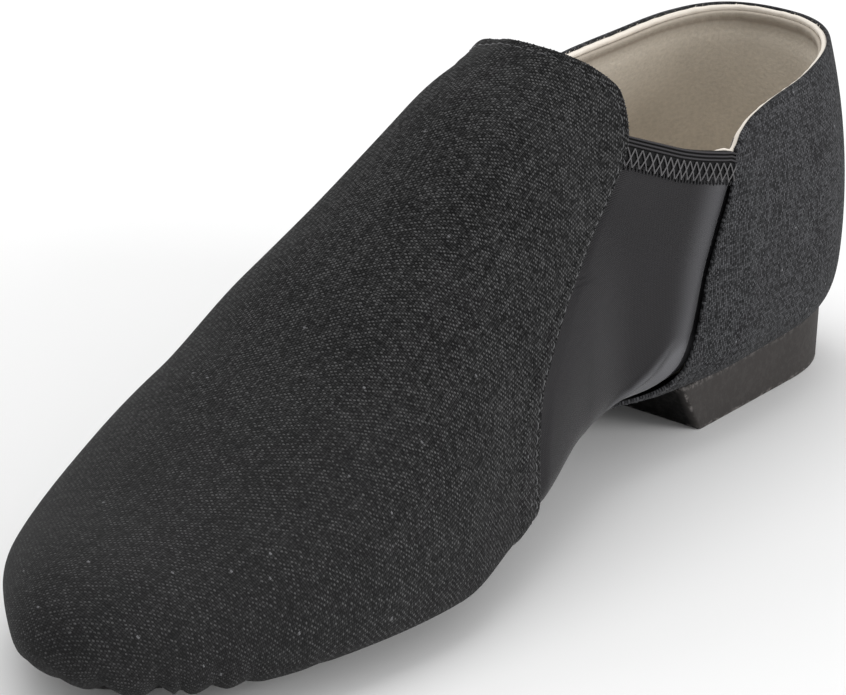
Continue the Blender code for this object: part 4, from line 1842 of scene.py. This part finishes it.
@dataclass
class CollarTape:
    """Pale tape folded over the collar between canvas and lining."""

    kit: Kit
    depth: Pair = (0.92 * MM, 2.2 * MM)
    below: float = 0.25 * MM
    width: float = 1.5 * MM
    tail_length: float = 4.0 * MM
    tail_shift: float = 2.35 * MM
    tail_drop: Pair = (-0.75 * MM, 1.0 * MM)
    waves: Triple = (0.9 * MM, 0.61 * MM, 2.3 * MM)
    wave_height: float = 0.035 * MM

    def build(self, counter: Grid) -> None:
        """Build the tape along the rim of the counter.

        Args:
            counter: Grid of the counter.
        """
        path, out = round_the_back(counter.points), round_the_back(counter.normals)
        down = unit(round_the_back(counter.points, 8) - path)
        inner = self.tail(path[0], out[0], down[0], Side.INNER)
        outer = self.tail(path[-1], out[-1], down[-1], Side.OUTER)
        path = np.concatenate([inner[::-1], path, outer])
        more = ((len(inner), len(outer)), (0, 0))
        out, down = np.pad(out, more, mode="edge"), np.pad(down, more, mode="edge")
        gone = gone_along(path)
        wave = sum(np.sin(gone / pitch + number) for number, pitch in enumerate(self.waves))
        path = path + down * wave[:, None] * self.wave_height
        middle, half = sum(self.depth) / 2, (self.depth[1] - self.depth[0]) / 2
        turn = np.linspace(math.pi, 2 * math.pi, 11)
        crown = self.below + half * 0.8 * (1 + np.sin(turn))
        rounded = np.stack([middle + half * np.cos(turn), crown], axis=1)
        foot = [[self.depth[1], self.width], [middle, self.width + 0.2 * MM], [self.depth[0], self.width]]
        profile = np.concatenate([rounded, foot])
        piece = sweep("collar_tape", path, out, down, profile)
        hand_over(self.kit.finish(piece, "tape"), Slot.LINING)

    def tail(self, end: Array, out: Array, down: Array, side: Side) -> Array:
        """Path of the tape's end, which slips in behind the elastic.

        Args:
            end: Where the tape leaves the counter.
            out: Outward direction there.
            down: Direction away from the rim there.
            side: Side of the shoe.

        Returns:
            Points of the path, from the counter on.
        """
        share = np.linspace(0, 1, 9)[1:]
        station = self.kit.last.station_of(end) + share * self.tail_length / self.kit.last.length
        angle = self.kit.seams.collar_angle(station, side)
        points = self.kit.last.point(station, angle if side is Side.INNER else -math.pi - angle)
        inwards = self.tail_shift * step(-0.1, 0.75, share)
        drop = self.tail_drop[0] + self.tail_drop[1] * share**1.5
        return points - out * inwards[:, None] + down * (drop * np.minimum(share * 4, 1))[:, None]


@dataclass
class GoreBinding:
    """Folded elastic along the top of the stretch cloth, sewn down with a crossed zigzag."""

    kit: Kit
    side: Side
    height: float = 5.4 * MM
    ridges: int = 3
    ridge_pitch: float = 0.76 * MM
    cord: float = 0.50 * MM
    stand_up: float = 1.15 * MM
    end_dip: float = 0.9 * MM
    first: float = 2.8 * MM
    past_seam: float = 1.0 * MM
    hidden: float = 1.1 * MM
    seam_top: float = 2.5 * MM
    seam_depth: float = 0.22 * MM
    loop_depth: float = 0.45 * MM
    zigzag_height: float = 3.9
    zigzag_pitch: float = 2.0
    loop: Stitch = Stitch(1.0, 0.17, 0.12, 0.12, (0, 0, 0), (0, 0.5, 0.25), (0, 1.0, -0.15))

    def build(self, waist: Grid) -> None:
        """Build the elastic and its stitches along the rim of the stretch cloth.

        Args:
            waist: Grid of the stretch cloth.
        """
        path, out, down, gone = self.line(waist)
        name = f"binding_{self.side.name.lower()}"
        piece = self.kit.finish(sweep(name, path, out, down, self.profile()), "elastic")
        hand_over(piece, Slot.ELASTIC, f"gore_{name}")
        kept = gone > self.hidden
        self.sew(name, path[kept], out[kept], down[kept])

    def line(self, waist: Grid) -> tuple[Array, Array, Array, Array]:
        """Line of the elastic along the rim, dipped where it slips in behind the counter.

        Args:
            waist: Grid of the stretch cloth.

        Returns:
            Points, outward and downward directions, and the distance of each point from the counter.
        """
        column, beside = (0, 8) if self.side is Side.INNER else (-1, -9)
        start = np.argmax(waist.from_start[:, column] > self.first)
        ahead = self.kit.seams.vamp(waist.points[:, column])
        past = ahead > self.past_seam / self.kit.last.length
        rows = slice(start, np.argmax(past) if np.any(past) else len(past))
        path, out = waist.points[rows, column], waist.normals[rows, column]
        down = unit(waist.points[rows, beside] - path)
        path = path - down * self.stand_up
        gone = gone_along(path)
        path = path + down * (self.end_dip * (1 - step(0, 3.0 * MM, gone)))[:, None]
        if self.side is Side.OUTER:
            return path[::-1], out[::-1], down[::-1], gone[::-1]
        return path, out, down, gone

    def profile(self) -> Array:
        """Closed profile of the elastic, inwards and down: ribs, sewn band, inner leaf and fold.

        Returns:
            Points of the profile, in metres.
        """
        t = np.linspace(0, self.height, 64)
        cords = self.cord * np.abs(np.sin(math.pi * t / self.ridge_pitch)) ** 0.6
        depth = np.where(t < self.ridges * self.ridge_pitch, 0.42 * MM - cords, 0.36 * MM)
        depth = depth + rounded_edge(t, 0.5 * MM) + rounded_edge(self.height - t, 0.25 * MM)
        turn = np.linspace(0, math.pi, 9)[1:-1]
        cap = MM * np.stack([2.2 + 1.65 * np.cos(turn), 0.45 - 0.5 * np.sin(turn)], axis=1)
        leaf = MM * np.array([[1.2, 5.4], [2.5, 5.0], [2.6, 3.1], [3.7, 3.0], [3.85, 2.8], [3.85, 0.6]])
        return np.concatenate([np.stack([depth, t], axis=1), leaf, cap])

    def sew(self, name: str, path: Array, out: Array, down: Array) -> None:
        """Sew the elastic down with two crossed rows of threads, and loops under them.

        Args:
            name: Name of the elastic.
            path: Points of its upper edge.
            out: Outward direction at each point.
            down: Direction away from the rim at each point.
        """
        seam = path + down * self.seam_top - out * self.seam_depth
        tall, half = self.zigzag_height, self.zigzag_pitch / 2
        lay, looks = self.kit.threads.along, self.kit.finishes
        legs = []
        for seed, lean in ((31, half), (32, -half)):
            places = (-lean, 0, 0), (0, tall / 2, 0.3), (lean, tall, -0.25)
            leg = Stitch(self.zigzag_pitch, 0.17, 0.04, 0.05, *places)
            legs.append(lay(seam, out, looks["seam_thread"], seed, leg))
        foot = path + down * (self.seam_top + (tall - 0.3) * MM) - out * self.loop_depth
        legs.append(lay(foot, out, looks["dark_thread"], 33, self.loop))
        hand_over(joined(f"{name}_zigzag", legs), Slot.ELASTIC)


# Soles


def stacked(name: str, rings: list[Array], wear: list[Array], painted_shade: list[Array] | None = None) -> Object:
    """Closed piece from closed rings, one above the other, that begin and end in a point.

    Args:
        name: Name of the piece.
        rings: Rings with the same number of points.
        wear: How worn each point is.
        painted_shade: How much painted shade darkens each point, or None.

    Returns:
        The piece.
    """
    points = np.array(rings)
    rows, columns = points.shape[:2]
    index = np.arange(rows * columns).reshape(rows, columns)
    nexts = np.roll(index, -1, axis=1)
    faces = np.stack([index[:-1], nexts[:-1], nexts[1:], index[1:]], axis=-1).reshape(-1, 4)
    mesh = bpy.data.meshes.new(name)
    mesh.from_pydata(points.reshape(-1, 3).tolist(), [], faces.tolist())
    flat = points.reshape(-1, 3)
    layer = mesh.uv_layers.new(name="cloth")
    layer.data.foreach_set("uv", flat[faces.ravel(), :2].astype(np.float32).ravel())
    for mark, values in (("wear", wear), ("painted_shade", painted_shade)):
        if values is not None:
            stored = mesh.attributes.new(mark, "FLOAT", "POINT")
            stored.data.foreach_set("value", np.array(values, np.float32).ravel())
    weld(mesh)
    outward(mesh)
    mesh.shade_smooth()
    return new_piece(name, mesh)


class HeelPart(Enum):
    """Parts of the heel's outline."""

    BACK = 0
    SIDE = 1
    CORNER = 2
    FRONT = 3


@dataclass
class HeelBlock:
    """Low block heel with a raked front, rounded at the back."""

    kit: Kit
    middle: float = 0.86 * MM
    width: float = 52.2 * MM
    taper: float = 1.1 * MM
    back: float = 4.6 * MM
    length: float = 63.3 * MM
    rake: float = 7.9 * MM
    edge: float = 12.3 * MM
    corner: float = 2.45
    front_corner: float = 0.8 * MM
    bevel: float = 0.4 * MM
    brim: float = 0.4 * MM
    under_last: float = 0.3 * MM
    sunk: float = 0.1 * MM
    wave_height: float = 0.10 * MM
    wave_pitches: Pair = (3.3 * MM, 1.9 * MM)
    rear: Pair = (40 * MM, 90 * MM)

    def outline(self, height: Array, inset: Array) -> Array:
        """Closed outline at a height for each of its points, inset by a distance.

        Args:
            height: Height of each point.
            inset: Distance inwards of each point.

        Returns:
            Plan points.
        """
        half, y_back = self.width / 2 - inset, self.kit.last.length / 2 - self.back - inset
        centre = self.kit.last.length / 2 - self.back - self.width / 2
        front = self.kit.last.length / 2 - self.back - self.length - self.rake * height / self.edge + inset
        turn, place, share = self.layout()
        power = 2 / self.corner
        across, along = np.cos(turn), np.sin(turn)
        back_x = half * np.sign(across) * np.abs(across) ** power
        back_y = centre + (y_back - centre) * np.abs(along) ** power
        corner = self.front_corner
        side_x = (half - self.taper * np.abs(share)) * np.sign(share)
        side_y = centre + (front + corner - centre) * np.abs(share)
        fillet_x = np.sign(share) * (half - self.taper - corner + corner * np.cos(turn))
        fillet_y = front + corner - corner * np.sin(turn)
        front_x = share * (half - self.taper - corner)
        places = [place == part.value for part in (HeelPart.BACK, HeelPart.SIDE, HeelPart.CORNER)]
        x = np.select(places, [back_x, side_x, fillet_x], front_x)
        y = np.select(places, [back_y, side_y, fillet_y], front)
        return np.stack([self.middle + x, y], axis=-1)

    def layout(self) -> tuple[Array, Array, Array]:
        """Turn, part and share along the part of each point of the outline.

        Returns:
            Turn round the back, part of the outline and share along it.
        """
        quarter = math.pi / 2
        runs = (
            (HeelPart.BACK, np.linspace(0, math.pi, 61), 0.0),
            (HeelPart.SIDE, 0.0, -np.linspace(0, 1, 28)[1:]),
            (HeelPart.CORNER, np.linspace(0, quarter, 6)[1:], -1.0),
            (HeelPart.FRONT, 0.0, np.linspace(-1, 1, 28)[1:-1]),
            (HeelPart.CORNER, np.linspace(quarter, 0, 6)[:-1], 1.0),
            (HeelPart.SIDE, 0.0, np.linspace(1, 0, 28)[:-1]),
        )
        rows = [np.broadcast_arrays(turn, part.value, share) for part, turn, share in runs]
        turn, place, share = (np.concatenate(column) for column in zip(*rows))
        return turn, place, share

    def top(self, plan: Array) -> Array:
        """Height of the top surface, just under the last.

        Args:
            plan: Places in plan.

        Returns:
            Heights above the floor.
        """
        station = (self.kit.last.length / 2 - plan[:, 1]) / self.kit.last.length
        for _ in range(3):
            point = self.kit.last.underside(station, plan[:, 0])
            station = station + (point[:, 1] - plan[:, 1]) / self.kit.last.length
        return self.kit.last.underside(station, plan[:, 0])[:, 2] - self.under_last

    def build(self) -> None:
        """Build the block from its underside up to its top."""
        length = self.kit.last.length
        centre = np.array([self.middle, length / 2 - self.back - self.length / 2])
        rows = self.foot(centre) + self.wall()
        brim = rows[-1][0][:, :2]
        for scale in (0.985, 0.95, 0.85, 0.6, 0.3, 0.0):
            plan = centre + (brim - centre) * scale
            rows.append((np.column_stack([plan, self.top(plan) - self.sunk]), np.zeros(len(plan))))
        rings, wear = (list(column) for column in zip(*rows))
        # Painted shade on the heel's front face, which lies in shadow under the arch.
        painted_shade = (self.layout()[1] == HeelPart.FRONT.value) * 1.0
        piece = stacked("heel_block", rings, wear, [painted_shade] * len(rings))
        hand_over(self.kit.finish(piece, "heel"), Slot.HEEL, "heel")

    def foot(self, centre: Array) -> list[tuple[Array, Array]]:
        """Rings of the flat underside and of the bevel round it.

        Args:
            centre: Place in plan where the underside begins.

        Returns:
            Each ring's points and how worn they are.
        """
        zero = np.zeros(len(self.layout()[0]))
        flat = self.outline(zero, zero + self.bevel)
        rows = []
        for scale in (0.0, 0.25, 0.5, 0.75, 0.92, 1.0):
            plan = centre + (flat - centre) * scale
            rows.append((np.column_stack([plan, zero]), zero + 0.12 + 0.25 * scale))
        for turn in (25, 50, 75, 90):
            angle = math.radians(turn)
            height = zero + self.bevel * (1 - math.cos(angle))
            plan = self.outline(height, zero + self.bevel * (1 - math.sin(angle)))
            rows.append((np.column_stack([plan, height]), zero + 0.45))
        return rows

    def wall(self) -> list[tuple[Array, Array]]:
        """Rings of the wall and of its rounded brim, which waves a little under the canvas.

        Returns:
            Each ring's points and how worn they are.
        """
        turns, place, _ = self.layout()
        zero = np.zeros(len(turns))
        full = self.outline(zero + self.edge, zero)
        for _ in range(3):
            full = self.outline(self.top(full), zero)
        along = np.cumsum(np.linalg.norm(np.diff(full, axis=0, prepend=full[-1:]), axis=1))
        wave = sum(np.sin(along / pitch + number) for number, pitch in enumerate(self.wave_pitches))
        upper = self.top(full) - self.sunk + self.wave_height * wave - self.brim
        rear = step(*self.rear, self.kit.last.length / 2 - full[:, 1])
        rows = []
        for share in (0.06, 0.14, 0.25, 0.4, 0.55, 0.7, 0.82, 0.92, 1.0):
            height = self.bevel + (upper - self.bevel) * share
            worn = 0.8 * step(0.35, 0.6, share) * (1 - step(0.82, 0.95, share))
            corner = np.where(place == HeelPart.CORNER.value, worn * np.abs(np.sin(2 * turns)) ** 3, 0.0)
            wear = corner + 0.03 + 0.45 * (share > 0.97) * (0.35 + 0.65 * rear)
            rows.append((np.column_stack([self.outline(height, zero), height]), wear))
        for turn in (30, 60, 90):
            angle = math.radians(turn)
            height = upper + self.brim * math.sin(angle)
            plan = self.outline(height, zero + self.brim * (1 - math.cos(angle)))
            rows.append((np.column_stack([plan, height]), zero + 0.40))
        return rows


@dataclass
class Oval:
    """Outline on the underside: end stations, margin to the edge and squareness."""

    kit: Kit
    start: float
    end: float
    margin: float
    squareness: float
    softness: float = 0.12 * MM

    def sheet(self, share: float, inset: float) -> tuple[Array, Array]:
        """Stations and distances across of a closed line, scaled from the middle and inset.

        Args:
            share: Size of the line, against the whole outline.
            inset: Distance inwards of the line, in metres.

        Returns:
            Stations and distances across of its points.
        """
        turn = np.linspace(0, 2 * math.pi, 181)[:-1]
        half = (self.end - self.start) / 2
        along = np.cos(turn)
        station = (self.start + self.end) / 2 + along * (half * share - inset / self.kit.last.length)
        shape = self.kit.last.shape((self.start + self.end) / 2 + along * half)
        width = rounding(np.abs(along), self.squareness)
        inner = np.maximum(shape["inner"] - self.margin, 0) * width * share - inset * (width > 0.02)
        outer = np.maximum(shape["outer"] - self.margin, 0) * width * share - inset * (width > 0.02)
        across = np.where(np.sin(turn) > 0, np.maximum(inner, 0), -np.maximum(outer, 0))
        return station, shape["middle"] + across

    def surface(self, share: float, inset: float, raised: float, floor: float | None = None) -> Array:
        """Ring of points on the underside moved by a height.

        Args:
            share: Size of the ring, against the whole outline.
            inset: Distance inwards of the ring.
            raised: Height over the underside of the last.
            floor: Lowest height that a point may have, or None.

        Returns:
            Points of the ring.
        """
        station, x = self.sheet(share, inset)
        points = self.kit.last.underside(station, x)
        points[:, 2] += raised
        if floor is not None:
            over = points[:, 2] - floor
            points[:, 2] = floor + (over + np.sqrt(over**2 + self.softness**2)) / 2
        return points


@dataclass
class FlatPiece:
    """Thin piece with a rounded edge that follows the underside."""

    kit: Kit
    name: str
    oval: Oval
    low: float
    high: float
    soft: float
    floor: float | None

    def build(self, material: str, slot: Slot, node: str) -> None:
        """Build the piece.

        Args:
            material: Name of its finish.
            slot: Slot of its material.
            node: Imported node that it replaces.
        """
        rings, wear = [], []
        scales = (0.0, 0.2, 0.4, 0.5, 0.6, 0.66, 0.72, 0.77, 0.82, 0.86, 0.90, 0.94, 0.97)
        for scale in scales:
            rings.append(self.oval.surface(scale, 0.0, self.low, self.floor))
            wear.append(0.25 + 0.25 * scale)
        for turn in (0, 30, 60, 90):
            angle = math.radians(turn)
            rise = self.soft * (1 - math.cos(angle))
            floor = None if self.floor is None else self.floor + rise
            rings.append(self.oval.surface(1.0, self.soft * (1 - math.sin(angle)), self.low + rise, floor))
            wear.append(0.45)
        for turn in (0, 30, 60, 90):
            angle = math.radians(turn)
            rise = self.soft * (1 - math.sin(angle))
            rings.append(self.oval.surface(1.0, self.soft * (1 - math.cos(angle)), self.high - rise))
            wear.append(0.3)
        for scale in scales[::-1]:
            rings.append(self.oval.surface(scale, 0.0, self.high))
            wear.append(0.0)
        count = rings[0].shape[0]
        piece = stacked(self.name, rings, [np.full(count, value) for value in wear])
        hand_over(self.kit.finish(piece, material), slot, node)


# Floor, light and camera


@dataclass
class Studio:
    """Pale floor, soft light and the camera of the photograph."""

    position: tuple[float, float, float] = (0.32145, -0.43468, 0.26310)
    azimuth: float = 37.07
    elevation: float = 23.24
    roll: float = 1.31
    lens: float = 123.0
    sensor: float = 36.0

    def floor(self) -> None:
        """Lay the floor."""
        mesh = bpy.data.meshes.new("floor")
        half = 3.0
        corners = [(-half, -half, 0), (half, -half, 0), (half, half, 0), (-half, half, 0)]
        mesh.from_pydata(corners, [], [(0, 1, 2, 3)])
        floor = new_piece("floor", mesh)
        paint = Paint("pale_floor")
        mesh.materials.append(paint.finish((0.86, 0.86, 0.86), 0.9, None, 0.0, Specular_IOR_Level=0.2))

    def lamp(self, name: str, place: tuple[float, float, float], size: float, power: float) -> None:
        """Hang a soft square light that points at the shoe.

        Args:
            name: Name of the light.
            place: Where it hangs, in metres.
            size: Side of its square, in metres.
            power: Its power, in watts.
        """
        light = bpy.data.lights.new(name, "AREA")
        light.size, light.energy = size, power
        lamp = bpy.data.objects.new(name, light)
        bpy.context.scene.collection.objects.link(lamp)
        lamp.location = place
        lamp.rotation_euler = (Vector((0, 0, 0.04)) - Vector(place)).to_track_quat("-Z", "Y").to_euler()

    def light(self) -> None:
        """Hang the lights and set the surroundings."""
        self.lamp("above", (-0.25, 0.1, 1.3), 1.0, 6.0)
        self.lamp("right", (1.25, 0.45, 0.45), 0.7, 10.5)
        self.lamp("left", (-1.1, 0.2, 0.8), 0.9, 4.0)
        world = bpy.data.worlds.new("surroundings")
        bpy.context.scene.world = world
        world.use_nodes = True
        world.node_tree.nodes["Background"].inputs[0].default_value = (1.0, 1.0, 1.0, 1.0)
        world.node_tree.nodes["Background"].inputs[1].default_value = 0.70
        bpy.context.scene.view_settings.view_transform = "Standard"

    def camera(self) -> None:
        """Set the camera where the photograph was taken from."""
        turn, tilt, roll = (math.radians(angle) for angle in (self.azimuth, self.elevation, self.roll))
        forward = Vector((-math.sin(turn) * math.cos(tilt), math.cos(turn) * math.cos(tilt), -math.sin(tilt)))
        right = Vector((math.cos(turn), math.sin(turn), 0))
        up = right.cross(forward)
        level = math.cos(roll) * right + math.sin(roll) * up
        upright = math.cos(roll) * up - math.sin(roll) * right
        data = bpy.data.cameras.new("camera")
        data.sensor_width, data.lens = self.sensor, self.lens
        camera = bpy.data.objects.new("camera", data)
        bpy.context.scene.collection.objects.link(camera)
        rotation = Matrix((level, upright, -forward)).transposed().to_4x4()
        camera.matrix_world = Matrix.Translation(self.position) @ rotation
        bpy.context.scene.camera = camera

    def build(self) -> None:
        """Set up everything round the shoe."""
        self.floor()
        self.light()
        self.camera()


def finishes() -> dict[str, Material]:
    """Materials of the shoe, by name.

    Returns:
        Each material, by the name that the pieces ask for.
    """
    counter = Canvas(
        "counter_canvas", 0.54 * MM, 0.16 * MM, (0.0035, 0.0035, 0.004), (0.084, 0.085, 0.090),
        level_threads=False, columns=0.45, calm=0.0, contrast=1.6, wander=1.2, slant=0.2, stretched=1.0,
    )
    fine = {"fibre": 0.2 * MM, "relief": 0.01 * MM}
    brushed = {"fibre": 0.8 * MM, "relief": 0.16 * MM, "stretch_along": 1.6, "contrast": 0.34}
    looks = {
        "canvas": Canvas(),
        "counter": counter,
        "stretch": Stretch(),
        "elastic": Elastic(),
        "thread": Plain("black_thread", (0.030, 0.030, 0.032), 0.34, gloss=0.6, **fine),
        "seam_thread": Plain("grey_thread", (0.080, 0.077, 0.080), 0.5, gloss=0.4, **fine),
        "dark_thread": Plain("dull_black_thread", (0.008, 0.008, 0.009), 0.6, gloss=0.3, **fine),
        "lint": Plain("pale_fibre", (0.075, 0.075, 0.08), 0.8, gloss=0.3, **fine),
        "lining": Plain("beige_lining", (0.63, 0.575, 0.495), 0.9, sheen=0.05, gloss=0.2, **brushed),
        "tape": Plain("cream_tape", (0.80, 0.74, 0.66), 0.85, relief=0.05 * MM, contrast=0.1),
        "sole": Rubber("sole_rubber", (0.018, 0.018, 0.019), (0.10, 0.095, 0.09)),
        "heel": Rubber("heel_rubber", (0.042, 0.0385, 0.037), (0.30, 0.28, 0.27)),
    }
    return {name: look.material() for name, look in looks.items()}


def main() -> None:
    """Build and dress the shoe, then the studio."""
    logging.basicConfig(level=logging.INFO, format="%(name)s: %(message)s")
    box = {name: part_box(name) for name in ("vamp", "counter")}
    length = box["counter"][1][1] - box["vamp"][0][1]
    width = box["vamp"][1][0] - box["vamp"][0][0]
    last = Last(length, width)
    kit = Kit(last, Seams(last), Repeat(), finishes())
    vamp = CanvasVamp(kit)
    vamp.dress(vamp.build())
    counter = CanvasCounter(kit)
    counter_grid = counter.build()
    counter.dress(counter_grid)
    waist = StretchWaist(kit).build()
    Linings(kit).build()
    CollarTape(kit).build(counter_grid)
    for side in Side:
        GoreBinding(kit, side).build(waist)
    HeelBlock(kit).build()
    patch = Oval(kit, 0.580, 0.947, 15 * MM, 3.0)
    FlatPiece(kit, "forefoot_patch", patch, -2.5 * MM, -0.3 * MM, 0.8 * MM, 0.0).build(
        "sole", Slot.SOLE, "forefoot_outsole"
    )
    sock = Oval(kit, 0.030, 0.965, 11 * MM, 5.0)
    FlatPiece(kit, "insole_sock", sock, 3.7 * MM, 5.2 * MM, 0.5 * MM, None).build(
        "lining", Slot.LINING, "insole"
    )
    Studio().build()


if __name__ == "__main__":
    main()
